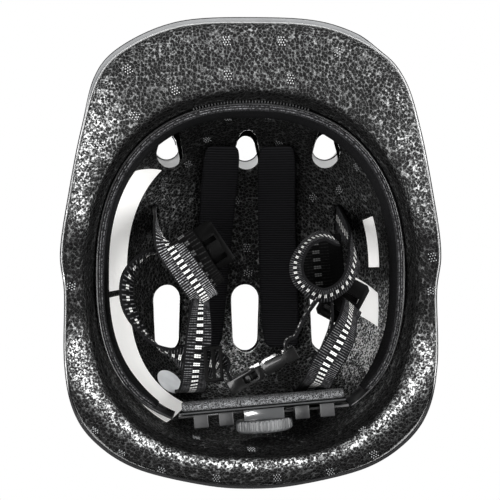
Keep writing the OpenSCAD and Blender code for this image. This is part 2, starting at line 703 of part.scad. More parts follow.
// Toothed edge along x, its first gap centred on x = 0 at phase 0
module rack_teeth(first, last) {
    for (k = [first:last]) translate([(k + 0.5) * tooth_pitch, 0])
        polygon([[-tooth_w / 2 - tooth_flare, tooth_h / 2 + 0.4], [-tooth_w / 2 + tooth_flare, -tooth_h / 2 + 0.15],
            [tooth_w / 2 - tooth_flare, -tooth_h / 2 + 0.15], [tooth_w / 2 + tooth_flare, tooth_h / 2 + 0.4]]);
}

// A sliding tail, drawn for the left side with its teeth above the pinion
module tail() {
    rotate([90, 0, 0]) translate([0, 0, -tail_t]) linear_extrude(height = tail_t) {
        difference() {
            translate([-tail_end, -tail_h / 2]) square([tail_end + tail_inner, tail_h]);
            translate([-window_far, -window_top]) square([window_far + window_near, 2 * window_top]);
        }
        translate([0, pinion_r]) intersection() {
            rack_teeth(-8, 1);
            translate([-window_far, -tooth_h]) square([window_far + window_near, 2 * tooth_h]);
        }
    }
}

module tail_left() color("black") rack() translate([0, gap, 0]) tail();
module tail_right() color("black") rack() translate([0, 2 * gap + tail_t, 0]) rotate([0, 180, 0]) tail();

module dial_housing() color("dimgray") rack() difference() {
    translate([-housing_w / 2, 0, -plate_h / 2]) cube([housing_w, housing_d, plate_h]);
    translate([-housing_w, -1, -channel_h / 2]) cube([2 * housing_w, channel_d + 1, channel_h]);
    rotate([-90, 0, 0]) cylinder(d = shaft_d, h = housing_d + 1, $fn = 48);
}

module dial_pinion() color("dimgray") rack() difference() {
    union() {
        translate([0, gap + run_gap + pinion_l, 0]) rotate([90, 0, 0]) linear_extrude(height = pinion_l) {
            circle(r = pinion_r - tooth_h / 2, $fn = 48);
            for (k = [0:pinion_teeth - 1]) rotate(360 * k / pinion_teeth) polygon([
                [-tooth_w / 2 - tooth_flare / 2, pinion_r - tooth_h / 2 - gap], [-tooth_w / 2, pinion_r],
                [-tooth_w / 2 + tooth_flare, pinion_tip], [tooth_w / 2 - tooth_flare, pinion_tip],
                [tooth_w / 2, pinion_r], [tooth_w / 2 + tooth_flare / 2, pinion_r - tooth_h / 2 - gap]]);
        }
        translate([0, -plate_t, 0]) rotate([-90, 0, 0]) cylinder(d = shaft_d - 2 * run_gap, h = plate_t + 1, $fn = 48);
        translate([0, 1, 0]) rotate([-90, 0, 0]) cylinder(d = shaft_d - 2 * run_gap, h = knob_y + knob_seat - 1, $fn = 48);
    }
    translate([0, 2, 0]) rotate([-90, 0, 0]) cylinder(d = screw_d, h = knob_y + knob_seat, $fn = 32);
}

module dial_knob() color("dimgray") rack() translate([0, knob_y, 0]) difference() {
    intersection() {
        rotate([-90, 0, 0]) linear_extrude(height = knob_t) polygon([for (k = [0:knob_ribs - 1], e = [0:3])
            let (a = 360 * (k + e / 4) / knob_ribs, r = knob_d / 2 - (e < 2 ? 0 : rib_depth)) [r * cos(a), r * sin(a)]]);
        rotate([-90, 0, 0]) rotate_extrude($fn = 96) polygon([[0, 0], [knob_d / 2 - knob_edge / 2, 0],
            [knob_d / 2, knob_edge / 2], [knob_d / 2, knob_t - knob_edge], [knob_d / 2 - knob_edge, knob_t],
            [knob_d / 2 - knob_lip, knob_t], [knob_d / 2 - knob_lip - knob_edge, knob_t - knob_dish],
            [0, knob_t - knob_dish]]);
    }
    translate([0, -1, 0]) rotate([-90, 0, 0]) cylinder(d = shaft_d - 2 * run_gap, h = knob_seat + 1, $fn = 48);
    rotate([-90, 0, 0]) cylinder(d = screw_d, h = knob_t, $fn = 32);
    translate([0, head_seat, 0]) rotate([-90, 0, 0]) cylinder(d = 2 * screw_d, h = knob_t, $fn = 32);
    rotate([-90, 0, 0]) translate([0, 0, -1]) difference() {
        cylinder(r = spring_r, h = 1 + spring_t, $fn = 64);
        cylinder(r = spring_r - spring_w, h = 1 + spring_t, $fn = 64);
    }
}

// Split spring ring in the groove of the knob's face
module detent_spring() color("silver") rack() translate([0, knob_y, 0]) rotate([-90, 0, 0]) difference() {
    cylinder(r = spring_r, h = spring_t, $fn = 64);
    translate([0, 0, -1]) cylinder(r = spring_r - spring_w, h = spring_t + 2, $fn = 64);
    translate([0, -spring_cut / 2, -1]) cube([spring_r + 1, spring_cut, spring_t + 2]);
}

module dial_screw() color("silver") rack() translate([0, knob_y + head_seat, 0]) rotate([-90, 0, 0]) {
    difference() {
        cylinder(d = 2 * screw_d, h = screw_head_t, $fn = 32);
        translate([-screw_d, -slot_cut / 2, screw_head_t - slot_cut]) cube([2 * screw_d, slot_cut, 2 * slot_cut]);
    }
    translate([0, 0, -screw_l]) cylinder(d = screw_d, h = screw_l, $fn = 32);
}

// Bars that hold the straps' upper ends under the shell
module strap_anchors() color("dimgray") {
    for (s = [-1, 1]) {
        translate([s * slot_x, -slot_y, anchor_z]) cube([slot_gap, slot_l, anchor_h], center = true);
        translate([s * rear_slot_x, rear_slot_y, rear_anchor_z]) cube([slot_l, slot_gap, anchor_h], center = true);
    }
}

module strap_front_left() color("dimgray") webbing(front_left_stops);
module strap_rear_left() color("dimgray") webbing(rear_left_stops);
module chin_strap_left() color("dimgray") webbing(chin_left_stops);
module strap_front_right() color("dimgray") webbing(front_right_stops);
module strap_rear_right() color("dimgray") webbing(rear_right_stops);
module strap_tail_right() color("dimgray") webbing(tail_right_stops);

module chin_strap_loop() color("dimgray") buckle() webbing(loop_stops);
module chin_strap_right() color("dimgray") webbing(chin_right_stops);

module buckle() {
    translate([buckle_x, buckle_y, buckle_z]) rotate([0, 0, -buckle_turn]) children();
}

// Window in a buckle half that the webbing passes through
module strap_window(x) {
    translate([x - strap_slot_w / 2, -buckle_t, -strap_w / 2 - 0.5]) cube([strap_slot_w, 2 * buckle_t, strap_w + 1]);
}

module buckle_socket() color("black") buckle() difference() {
    union() {
        translate([-socket_l, -buckle_t / 2, -buckle_h / 2]) cube([socket_l, buckle_t, buckle_h]);
        translate([-grip_x - grip_w / 2, -buckle_t / 2 - grip_t, -buckle_h / 2])
            cube([grip_w, buckle_t + 2 * grip_t, buckle_h]);
    }
    translate([-socket_l + socket_back, -buckle_t / 2 + buckle_wall, -buckle_h / 2 + buckle_wall])
        cube([socket_l, buckle_t - 2 * buckle_wall, buckle_h - 2 * buckle_wall]);
    strap_window(socket_slot);
    translate([-prong_l + press_inset, -buckle_t / 2 + buckle_wall, -buckle_h])
        cube([press_l, buckle_t - 2 * buckle_wall, 2 * buckle_h]);
}

module buckle_tongue() color("dimgray") buckle() difference() {
    union() {
        translate([gap, 0, 0]) linear_extrude(height = buckle_h - 2 * gap, center = true) polygon([
            [0, -buckle_t * 0.38], [tongue_round, -buckle_t / 2], [tongue_head_l, -buckle_t / 2],
            [tongue_waist - 0.4, -waist_t / 2], [tongue_waist, -buckle_t / 2], [tongue_l, -buckle_t / 2],
            [tongue_l, buckle_t / 2], [tongue_waist, buckle_t / 2], [tongue_waist - 0.4, waist_t / 2],
            [tongue_head_l, buckle_t / 2], [tongue_round, buckle_t / 2], [0, buckle_t * 0.38]]);
        translate([-guide_l, -blade_t / 2, -guide_h / 2]) cube([guide_l + tongue_round, blade_t, guide_h]);
    }
    strap_window(tongue_slot);
    for (s = [-1, 1]) translate([0, 0, s * prong_z]) rotate([90, 0, 0])
        cylinder(r = prong_root + gap, h = 2 * buckle_t, center = true, $fn = 32);
}

// One prong, drawn above the tongue's middle, rooted at its round end
module prong() {
    translate([0, 0, prong_z]) rotate([90, 0, 0]) cylinder(r = prong_root, h = blade_t, center = true, $fn = 32);
    translate([-prong_l, -blade_t / 2, prong_z - prong_t / 2]) cube([prong_l, blade_t, prong_t]);
    translate([-prong_l, 0, prong_z - prong_t / 2]) rotate([90, 0, 0]) linear_extrude(height = blade_t, center = true)
        polygon([[0, 0], [catch_l, 0], [catch_l, catch_h - 1], [catch_l - 1.4, catch_h], [0, prong_t * 0.8]]);
}

module prong_upper() color("dimgray") buckle() prong();
module prong_lower() color("dimgray") buckle() mirror([0, 0, 1]) prong();

module ladder_slider() color("black") translate([slider_x, slider_y, slider_z]) rotate([0, 0, slider_turn]) difference() {
    window = (slider_l - 3 * slider_bar) / 2;
    cube([slider_l, strap_w + 4, slider_t], center = true);
    for (s = [-1, 1]) translate([s * (slider_bar + window) / 2, 0, 0]) cube([window, strap_w, 2 * slider_t], center = true);
}

// Corners of a divider's frame
module divider_outline() {
    l = divider_l / 2;
    w = divider_w / 2;
    c = divider_corner;
    polygon([[-l + c, -w], [l - c, -w], [l, -w + c], [l, w - c], [l - c, w], [-l + c, w], [-l, w - c], [-l, -w + c]]);
}

// Cut or pin on the lever's axis
module lever_axis(d, l) {
    translate([-lever_x, 0, divider_t / 2 + lever_lift]) rotate([90, 0, 0]) cylinder(d = d, h = l, center = true, $fn = 32);
}

// A strap divider, lying flat, its lever side up
module divider_frame() {
    difference() {
        union() {
            translate([0, 0, -divider_t / 2]) linear_extrude(height = divider_t) divider_outline();
            for (y = [-divider_w / 2, divider_w / 2 - lug_w]) translate([-lever_x - lug_l / 2, y, 0])
                cube([lug_l, lug_w, divider_t / 2 + lever_lift + lug_l / 2]);
        }
        for (x = divider_slots) translate([x - divider_slot_w / 2, -strap_w / 2 - gap, -divider_t])
            cube([divider_slot_w, strap_w + 2 * gap, 2 * divider_t]);
        lever_axis(divider_pin_d, 2 * divider_w);
    }
}

module divider_lever() {
    difference() {
        union() {
            lever_axis(divider_pin_d + 2 * lever_eye, lever_w);
            translate([-lever_x, -lever_w / 2, divider_t / 2 + 2 * gap]) cube([lever_l, lever_w, lever_t]);
        }
        lever_axis(divider_pin_d + 2 * run_gap, 2 * divider_w);
    }
}

module at_left_divider() { translate([-divider_x_left, divider_y_left, divider_z_left]) rotate([0, 0, divider_turn_left]) children(); }
module at_right_divider() { translate([divider_x_right, divider_y_right, divider_z_right]) rotate([0, 0, divider_turn_right]) children(); }
module divider_left() color("black") at_left_divider() divider_frame();
module divider_pin_left() color("silver") at_left_divider() lever_axis(divider_pin_d, divider_w);
module divider_lever_left() color("black") at_left_divider() divider_lever();
module divider_right() color("black") at_right_divider() divider_frame();
module divider_pin_right() color("silver") at_right_divider() lever_axis(divider_pin_d, divider_w);
module divider_lever_right() color("black") at_right_divider() divider_lever();

outer_shell();
eps_liner();
ring_band();
ring_pad();
ring_pins();
crown_pad_left();
crown_pad_right();
crown_hooks_left();
crown_hooks_right();
label_left_front();
label_left_rear();
label_right_strip();
label_right_square();
size_disc();
rear_pad();
rear_plate();
rack_clips();
tail_left();
tail_right();
dial_housing();
dial_pinion();
dial_knob();
detent_spring();
dial_screw();
strap_anchors();
strap_front_left();
strap_rear_left();
chin_strap_left();
strap_front_right();
strap_rear_right();
strap_tail_right();
chin_strap_right();
chin_strap_loop();
buckle_socket();
buckle_tongue();
prong_upper();
prong_lower();
ladder_slider();
divider_left();
divider_pin_left();
divider_lever_left();
divider_right();
divider_pin_right();
divider_lever_right();
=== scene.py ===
"""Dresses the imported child's bicycle helmet: shell, bead foam, head ring, pads, dial, webbing and buckle.

Sizes are in millimetres in the classes and in metres in the meshes. The frame is the CAD's: the rim rests on
z = 0, the visor points to -Y and the crown to +Z. The camera looks up into the helmet from below.
"""

import logging
from collections.abc import Callable, Iterator
from contextlib import contextmanager
from dataclasses import dataclass, field
from enum import Enum
from functools import partial
from math import asin, copysign, cos, degrees, exp, log, pi, radians, sin, sqrt, tan, tau

import bpy
from mathutils import Matrix, Vector
from mathutils.bvhtree import BVHTree
from mathutils.kdtree import KDTree


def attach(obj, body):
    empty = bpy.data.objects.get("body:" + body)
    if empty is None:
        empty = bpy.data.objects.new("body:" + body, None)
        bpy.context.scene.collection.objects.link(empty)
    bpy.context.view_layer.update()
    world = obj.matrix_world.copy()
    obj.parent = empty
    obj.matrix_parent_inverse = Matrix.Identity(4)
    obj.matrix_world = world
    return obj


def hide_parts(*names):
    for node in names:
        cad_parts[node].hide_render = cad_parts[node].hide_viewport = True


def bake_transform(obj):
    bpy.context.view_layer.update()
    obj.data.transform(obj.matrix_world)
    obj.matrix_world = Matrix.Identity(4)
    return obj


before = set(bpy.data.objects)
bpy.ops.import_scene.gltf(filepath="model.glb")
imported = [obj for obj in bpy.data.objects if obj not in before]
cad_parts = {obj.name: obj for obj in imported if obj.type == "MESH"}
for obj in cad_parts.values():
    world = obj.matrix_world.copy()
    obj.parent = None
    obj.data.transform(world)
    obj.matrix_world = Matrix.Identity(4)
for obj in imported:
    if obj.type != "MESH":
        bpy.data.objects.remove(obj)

MM = 0.001
LOG = logging.getLogger("helmet")

Piece = bpy.types.Object
Node = bpy.types.Node
Socket = bpy.types.NodeSocket
Pair = tuple[float, float]
Triple = tuple[float, float, float]
Stop = tuple[Triple, Triple]
Place = Callable[[float, float], Vector]
Course = Callable[[float], tuple[Vector, ...]]


class Body(str, Enum):
    """The CAD bodies that pieces ride on."""

    HELMET = "helmet"
    DIAL = "dial"
    TAIL_LEFT = "tail_left"
    TAIL_RIGHT = "tail_right"
    TONGUE = "tongue"
    PRONG_UPPER = "prong_upper"
    PRONG_LOWER = "prong_lower"
    LEVER_LEFT = "lever_left"
    LEVER_RIGHT = "lever_right"


# Modelling helpers


def shift(x: float, y: float, z: float) -> Matrix:
    """Returns a move by millimetres."""
    return Matrix.Translation(Vector((x, y, z)) * MM)


def turned(angle: float, axis: str = "Z") -> Matrix:
    """Returns a turn by degrees about an axis."""
    return Matrix.Rotation(radians(angle), 4, axis)


def select_only(piece: Piece) -> None:
    """Makes one object the only selected and the active one.

    Args:
        piece: The object to work on.
    """
    bpy.ops.object.select_all(action="DESELECT")
    piece.select_set(True)
    bpy.context.view_layer.objects.active = piece


def add_primitive(kind: str, **settings: object) -> Piece:
    """Adds a primitive, the only object selected.

    Args:
        kind: Blender's name of the primitive.
        settings: Its settings by name.

    Returns:
        The new object.
    """
    bpy.ops.object.select_all(action="DESELECT")
    getattr(bpy.ops.mesh, f"primitive_{kind}_add")(**settings)
    return bpy.context.object


@contextmanager
def editing(piece: Piece) -> Iterator[None]:
    """Opens an object in edit mode with all of it selected, and closes it again.

    Args:
        piece: The object to edit.

    Yields:
        Nothing.
    """
    select_only(piece)
    bpy.ops.object.mode_set(mode="EDIT")
    bpy.ops.mesh.select_all(action="SELECT")
    yield
    bpy.ops.object.mode_set(mode="OBJECT")


def add_modifier(piece: Piece, kind: str, **settings: object) -> None:
    """Adds a modifier and applies it.

    Args:
        piece: The object that the modifier shapes.
        kind: Blender's name of the modifier type.
        settings: The modifier's settings by name.
    """
    select_only(piece)
    modifier = piece.modifiers.new(kind.title(), kind)
    for key, value in settings.items():
        setattr(modifier, key, value)
    bpy.ops.object.modifier_apply(modifier=modifier.name)


def shade(piece: Piece, angle: float = 180.0) -> None:
    """Shades a piece smoothly where its faces meet at less than an angle.

    Args:
        piece: The object to shade.
        angle: Degrees past which an edge stays sharp.
    """
    select_only(piece)
    if angle >= 180.0:
        bpy.ops.object.shade_smooth()
    else:
        bpy.ops.object.shade_smooth_by_angle(angle=radians(angle))


def round_edges(piece: Piece, width: float, sharp: float, smooth: float, segments: int = 2) -> None:
    """Rounds a piece's sharp edges and shades it.

    Args:
        piece: The object.
        width: Width of the rounded edge.
        sharp: Degrees past which an edge is rounded.
        smooth: Degrees past which an edge stays sharp to the eye.
        segments: Faces across the rounded edge.
    """
    add_modifier(
        piece, "BEVEL", width=width * MM, segments=segments, limit_method="ANGLE", angle_limit=radians(sharp)
    )
    shade(piece, smooth)


def laid_grid(name: str, columns: int, rows: int, place: Place, size: Pair) -> Piece:
    """Adds a grid and lays its points on a surface, smooth and with its UV map in millimetres.

    Args:
        name: The new piece's name.
        columns: Faces along the first direction.
        rows: Faces along the second direction.
        place: Gives the point in millimetres at two shares from 0 to 1.
        size: Length along each direction, for the UV map.

    Returns:
        The sheet, its doubles merged.
    """
    piece = add_primitive("grid", x_subdivisions=columns, y_subdivisions=rows, size=2.0)
    piece.name = name
    for loop in piece.data.uv_layers.active.data:
        loop.uv = (loop.uv.x * size[0], loop.uv.y * size[1])
    for vertex in piece.data.vertices:
        vertex.co = place((vertex.co.x + 1.0) / 2.0, (vertex.co.y + 1.0) / 2.0) * MM
    with editing(piece):
        bpy.ops.mesh.remove_doubles(threshold=0.01 * MM)
    shade(piece)
    return piece


def tube(name: str, columns: int, rows: int, path: Course, size: Pair) -> Piece:
    """Adds a strip of oval section along a path.

    Args:
        name: The new piece's name.
        columns: Faces along it.
        rows: Faces round it.
        path: Gives its middle and its section's two half widths at a share from 0 to 1.
        size: Its length and its girth, for the UV map.

    Returns:
        The strip.
    """

    def place(u: float, v: float) -> Vector:
        """Places a point of the strip.

        Args:
            u: Share of the way along.
            v: Share of the way round its section.

        Returns:
            The point.
        """
        middle, wide, tall = path(u)
        return middle + wide * cos(tau * v) + tall * sin(tau * v)

    return laid_grid(name, columns, rows, place, size)


def join(pieces: list[Piece], name: str) -> Piece:
    """Joins pieces into the first.

    Args:
        pieces: The objects to join.
        name: The joined piece's name.

    Returns:
        The joined piece.
    """
    select_only(pieces[0])
    for other in pieces[1:]:
        other.select_set(True)
    bpy.ops.object.join()
    pieces[0].name = name
    return pieces[0]


def remove(piece: Piece) -> None:
    """Deletes a helper object."""
    select_only(piece)
    bpy.ops.object.delete()


def cut(piece: Piece, cutters: list[Piece]) -> None:
    """Takes cutters out of a piece and deletes them.

    Args:
        piece: The piece.
        cutters: What is cut away.
    """
    tool = join(cutters, "cutters")
    add_modifier(piece, "BOOLEAN", operation="DIFFERENCE", object=tool, solver="EXACT")
    remove(tool)


def box(low: Triple, high: Triple) -> Piece:
    """Adds a box between two corners, its place in its mesh.

    Args:
        low: Its lowest corner.
        high: Its highest corner.

    Returns:
        The box.
    """
    piece = add_primitive("cube", size=1.0)
    for vertex in piece.data.vertices:
        vertex.co = Vector([(a + b) / 2.0 + c * (b - a) for a, b, c in zip(low, high, vertex.co)]) * MM
    return piece


def dress(piece: Piece, finish: "Finish", *nodes: str, body: Body = Body.HELMET) -> None:
    """Gives a finished piece its material and its body, and hides the CAD nodes that it stands for.

    Args:
        piece: The finished piece.
        finish: Its finish.
        nodes: The CAD nodes that it replaces, which are hidden.
        body: The body that it rides on.
    """
    piece.data.materials.clear()
    piece.data.materials.append(finish.material())
    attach(piece, body.value)
    if nodes:
        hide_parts(*nodes)
    LOG.info("%s: %d faces on %s", piece.name, len(piece.data.polygons), body.value)


# Forms shared by the pieces


def clamp(value: float) -> float:
    """Limits a value to 0 and 1."""
    return min(max(value, 0.0), 1.0)


def ease(value: float) -> float:
    """Eases a share in and out."""
    share = clamp(value)
    return share * share * (3.0 - 2.0 * share)


def mix(a: float, b: float, share: float) -> float:
    """Mixes two values."""
    return a + (b - a) * share


def power(value: float, exponent: float) -> float:
    """Raises a value's size to a power and keeps its sign."""
    return copysign(abs(value) ** exponent, value)


def way_at(angle: float) -> Vector:
    """Returns the plan's direction at degrees round the head from +X."""
    return Vector((cos(radians(angle)), sin(radians(angle))))


def spline(stops: list[Vector], share: float) -> Vector:
    """Returns the point between the middle two of four stops on a smooth curve through them.

    Args:
        stops: Four points.
        share: How far from the second to the third.

    Returns:
        The point on the curve.
    """
    a, b, c, d = stops
    s, s2, s3 = share, share**2, share**3
    return 0.5 * (
        2.0 * b + (c - a) * s + (2.0 * a - 5.0 * b + 4.0 * c - d) * s2 + (3.0 * (b - c) + d - a) * s3
    )


def on_curve(points: list[Vector], share: float) -> Vector:
    """Returns the point at a share of a smooth curve through points.

    Args:
        points: The points.
        share: From 0 at the first to 1 at the last.

    Returns:
        The point on the curve.
    """
    last = len(points) - 1
    at = min(share * last, last - 1e-9)
    index = int(at)
    return spline([points[min(max(index + k, 0), last)] for k in (-1, 0, 1, 2)], at - index)


# Half of the rim outline from the visor to the nape, in half widths and half lengths
RIM_HALF = (
    (0.0, -1.0), (0.385, -0.98), (0.675, -0.876), (0.815, -0.742), (0.895, -0.506), (0.958, -0.233),
    (1.0, 0.0), (0.98, 0.17), (0.974, 0.48), (0.924, 0.675), (0.802, 0.811), (0.592, 0.916),
    (0.256, 0.983), (0.0, 1.0),
)  # fmt: skip


@dataclass
class HeadForm:
    """The dome and the head cavity, as the CAD draws them."""

    width: float = 203.0
    length: float = 249.0
    height: float = 146.0
    wall: float = 1.2
    foam_gap: float = 1.0
    visor_reach: float = 16.0
    visor_lift: float = 15.0
    lip_visor_lift: float = 3.0
    edge_lift: float = 8.0
    ear_rise: float = 6.0
    visor_rise: float = 6.0
    side_wall: float = 17.5
    nape_wall: float = 20.5
    brow_wall: float = 42.5
    crown_wall: float = 21.0
    lip_flare: float = 4.0
    flare_up: float = 0.08
    middle_y: float = 10.0
    front_power: float = 2.3
    rear_power: float = 2.6
    dome_power: float = 2.5
    cavity_power: float = 2.05
    settle_up: float = 0.2
    settle_power: float = 2.5
    shoulder_z: float = 45.0
    centre_z: float = 30.0
    rim_flat: float = 0.8
    brow_y: float = -60.0
    brow_run: float = 50.0
    ear_y: float = 15.0
    ear_run: float = 40.0
    ear_x: float = 60.0
    ear_fade: float = 25.0
    # How far in the rim's lowest line runs at the sides, the nape and the visor
    ridge_side: float = 0.36
    ridge_nape: float = 0.7
    ridge_brow: float = 0.34

    @property
    def lip_lift(self) -> float:
        """Height of the rim's inner lip."""
        return self.edge_lift - 1.0

    @property
    def cavity_top(self) -> float:
        """Height of the cavity's roof."""
        return self.height - self.wall - self.crown_wall

    def rim(self, share: float) -> Vector:
        """Returns a point of the rim outline.

        Args:
            share: Share of the way round, from the visor past the right.

        Returns:
            The point in the plan.
        """
        loop = list(RIM_HALF) + [(-x, y) for x, y in RIM_HALF[-2:0:-1]]
        count = len(loop)
        at = (share % 1.0) * count
        index = int(at) % count
        point = spline([Vector(loop[(index + k) % count]) for k in (-1, 0, 1, 2)], at - int(at))
        return Vector((point.x * self.width / 2.0, point.y * self.length / 2.0))

    def spoke(self, share: float) -> tuple[Vector, float, Vector]:
        """Returns a point of the rim outline as seen from the dome's middle line.

        Args:
            share: Share of the way round, from the visor past the right.

        Returns:
            The point, its distance and its direction.
        """
        rim = self.rim(share)
        out = rim - Vector((0.0, self.middle_y))
        return rim, out.length, out.normalized()

    def oval(self, way: Vector, half: float, front: float, rear: float) -> float:
        """Returns the radius of a rounded oval in a direction of the plan.

        Args:
            way: The direction, of length 1.
            half: Half of its width.
            front: Its reach to the front.
            rear: Its reach to the rear.

        Returns:
            The radius.
        """
        exponent = self.front_power if way.y < 0.0 else self.rear_power
        reach = front if way.y < 0.0 else rear
        return (abs(way.x / half) ** exponent + abs(way.y / reach) ** exponent) ** (-1.0 / exponent)

    def brow(self, point: Vector) -> float:
        """Returns the visor's share at a point of the rim."""
        return ease((self.brow_y - point.y) / self.brow_run)

    def ear(self, point: Vector) -> float:
        """Returns the ear arch's share at a point of the rim."""
        near = ease(1.0 - abs(point.y - self.ear_y) / self.ear_run)
        return near * ease((abs(point.x) - self.ear_x) / self.ear_fade)

    def edge_z(self, point: Vector) -> float:
        """Returns the height of the shell's edge at a point of the rim."""
        lift = (self.visor_lift - self.edge_lift) * self.brow(point)
        return self.edge_lift + lift + self.ear_rise * self.ear(point)

    def lip_z(self, point: Vector) -> float:
        """Returns the height of the inner lip at a point of the rim."""
        return self.lip_lift + self.lip_visor_lift * self.brow(point) + self.ear_rise * self.ear(point)

    def dome_share(self, up: float, exponent: float) -> float:
        """Returns the share of full width left at a share of the height."""
        return (1.0 - clamp(up) ** exponent) ** (1.0 / exponent)

    def up(self, z: float) -> float:
        """Returns the share of the cavity's height at a height."""
        return (z - self.lip_lift) / (self.cavity_top - self.lip_lift)

    def at(self, way: Vector, radius: float, z: float) -> Vector:
        """Returns the point at a radius from the dome's middle line."""
        return Vector((way.x * radius, self.middle_y + way.y * radius, z))

    def outer(self, share: float, up: float, inset: float = 0.0) -> Vector:
        """Returns a point of the foam's outer face.

        Args:
            share: Share of the way round the rim.
            up: Share of the height.
            inset: How far the face is drawn in.

        Returns:
            The point.
        """
        rim, distance, way = self.spoke(share)
        half = self.width / 2.0 - self.wall - self.foam_gap
        front = self.length / 2.0 - self.visor_reach + self.middle_y
        rear = self.length / 2.0 - self.wall - self.middle_y
        settle = 1.0 - (1.0 - clamp(up / self.settle_up)) ** self.settle_power
        radius = mix(distance - self.wall, self.oval(way, half, front, rear), settle) - inset
        top = self.height - self.wall - inset
        return self.at(way, radius * self.dome_share(up, self.dome_power), mix(self.edge_z(rim), top, up))

    def shell(self, share: float, up: float) -> Vector:
        """Returns a point of the shell's outer face.

        Args:
            share: Share of the way round the rim.
            up: Share of the height.

        Returns:
            The point.
        """
        point = self.outer(share, up)
        out = point - Vector((0.0, self.middle_y, min(point.z, self.shoulder_z)))
        if out.length < 1.0:
            return point + Vector((0.0, 0.0, self.wall))
        if point.z > self.shoulder_z:
            out = point - Vector((0.0, self.middle_y, self.centre_z))
        return point + out.normalized() * self.wall

    def ridge(self, rim: Vector) -> float:
        """Returns how far in the rim's lowest line runs: near the shell at the sides, near the lip behind."""
        plain = mix(self.ridge_side, self.ridge_nape, ease((rim.y - 50.0) / 50.0))
        return mix(plain, self.ridge_brow, self.brow(rim))

    def under(self, share: float, inward: float) -> Vector:
        """Returns a point of the rim's under side.

        Args:
            share: Share of the way round the rim.
            inward: Share of the way from the shell's edge to the inner lip.

        Returns:
            The point.
        """
        rim, distance, way = self.spoke(share)
        low = self.ridge(rim)
        skew = log(0.5) / log(low)
        line = [mix(self.edge_z(rim), self.lip_z(rim), (1.0 - cos(pi * s)) / 2.0) for s in (inward, low)]
        lift = self.visor_rise * self.brow(rim) + (self.ear_rise + 1.0) * self.ear(rim)
        crest = max(0.0, lift - self.rim_flat)
        z = line[0] - (line[1] - crest) * max(sin(pi * inward**skew), 0.0)
        eased = (1.0 - cos(pi * inward)) / 2.0
        radius = mix(distance - self.wall, self.cavity_oval(way) + self.lip_flare, eased)
        return self.at(way, radius, max(0.0, z))

    def cavity_oval(self, way: Vector, rear: float = 0.0) -> float:
        """Returns the cavity's radius at its foot.

        Args:
            way: The direction, of length 1.
            rear: Its reach to the rear, or 0 for the nape wall's.

        Returns:
            The radius.
        """
        front = self.length / 2.0 - self.brow_wall + self.middle_y
        rear = rear or self.length / 2.0 - self.nape_wall - self.middle_y
        return self.oval(way, self.width / 2.0 - self.side_wall, front, rear)

    def cavity_radius(self, way: Vector, up: float) -> float:
        """Returns the cavity's radius in a direction at a share of its height."""
        flare = self.lip_flare * (1.0 - clamp(up / self.flare_up)) ** 2
        return (self.cavity_oval(way) + flare) * self.dome_share(up, self.cavity_power)

    def inner(self, share: float, up: float) -> Vector:
        """Returns a point of the cavity's wall over a point of the rim."""
        rim, _, way = self.spoke(share)
        return self.at(way, self.cavity_radius(way, up), mix(self.lip_z(rim), self.cavity_top, up))

    def wall_point(self, angle: float, z: float, inset: float) -> Vector:
        """Returns a point along the cavity's wall.

        Args:
            angle: Degrees round the head from +X.
            z: Height.
            inset: How far it is drawn in.

        Returns:
            The point.
        """
        way = way_at(angle)
        return self.at(way, self.cavity_radius(way, self.up(z)) - inset, z)

    def cavity_z(self, x: float, y: float) -> float:
        """Returns the height of the cavity's wall over a point of the plan.

        Args:
            x: The point.
            y: The point.

        Returns:
            The height.
        """
        out = Vector((x, y - self.middle_y))
        if out.length < 0.01:
            return self.cavity_top
        full = self.cavity_radius(out.normalized(), 0.5) / self.dome_share(0.5, self.cavity_power)
        rise = (1.0 - clamp(out.length / full) ** self.cavity_power) ** (1.0 / self.cavity_power)
        return mix(self.lip_lift, self.cavity_top, rise)


FORM = HeadForm()


# Finishes


def hex_colour(code: str) -> tuple[float, float, float, float]:
    """Turns an sRGB hex colour to linear.

    Args:
        code: Six hex digits.

    Returns:
        The linear colour with alpha 1.
    """
    parts = [int(code[i : i + 2], 16) / 255.0 for i in (0, 2, 4)]
    linear = [c / 12.92 if c <= 0.04045 else ((c + 0.055) / 1.055) ** 2.4 for c in parts]
    return (*linear, 1.0)


def add_node(
    tree: bpy.types.NodeTree,
    kind: str,
    *inputs: object,
    out: str | int = 0,
    named: dict[str | int, object] | None = None,
    stops: tuple[tuple[float, str], ...] = (),
    **own: object,
) -> Socket:
    """Adds a node with its settings and links.

    Args:
        tree: The node tree.
        kind: Blender's name of the node type without its ShaderNode prefix, and its operation if it has one.
        inputs: What its first inputs take, in order: a socket, a number or an sRGB hex colour.
        out: The output that is wanted.
        named: What other inputs take, by name or number.
        stops: Position and sRGB hex colour of each stop of a colour ramp.
        own: The node's own settings by name.

    Returns:
        The node's output.
    """
    kind, _, operation = kind.partition(" ")
    made = tree.nodes.new("ShaderNode" + kind)
    if operation:
        made.operation = operation
    for key, value in own.items():
        setattr(made, key, value)
    for key, value in {**dict(enumerate(inputs)), **(named or {})}.items():
        if isinstance(value, Socket):
            tree.links.new(value, made.inputs[key])
        else:
            made.inputs[key].default_value = hex_colour(value) if isinstance(value, str) else value
    while stops and len(made.color_ramp.elements) < len(stops):
        made.color_ramp.elements.new(0.5)
    for index, (position, code) in enumerate(stops):
        made.color_ramp.elements[index].position = position
        made.color_ramp.elements[index].color = hex_colour(code)
    return made.outputs[out]


def show(tree: bpy.types.NodeTree, shader: Socket) -> None:
    """Links a shader to its tree's output."""
    output = next(node for node in tree.nodes if node.type.startswith("OUTPUT"))
    tree.links.new(shader, output.inputs["Surface"])


def grains(size: float, detail: float = 3.0) -> dict[str | int, object]:
    """Returns the inputs of noise with grains of a size in millimetres."""
    return {"Scale": 1.0 / size, "Detail": detail}


Add = Callable[..., Socket]


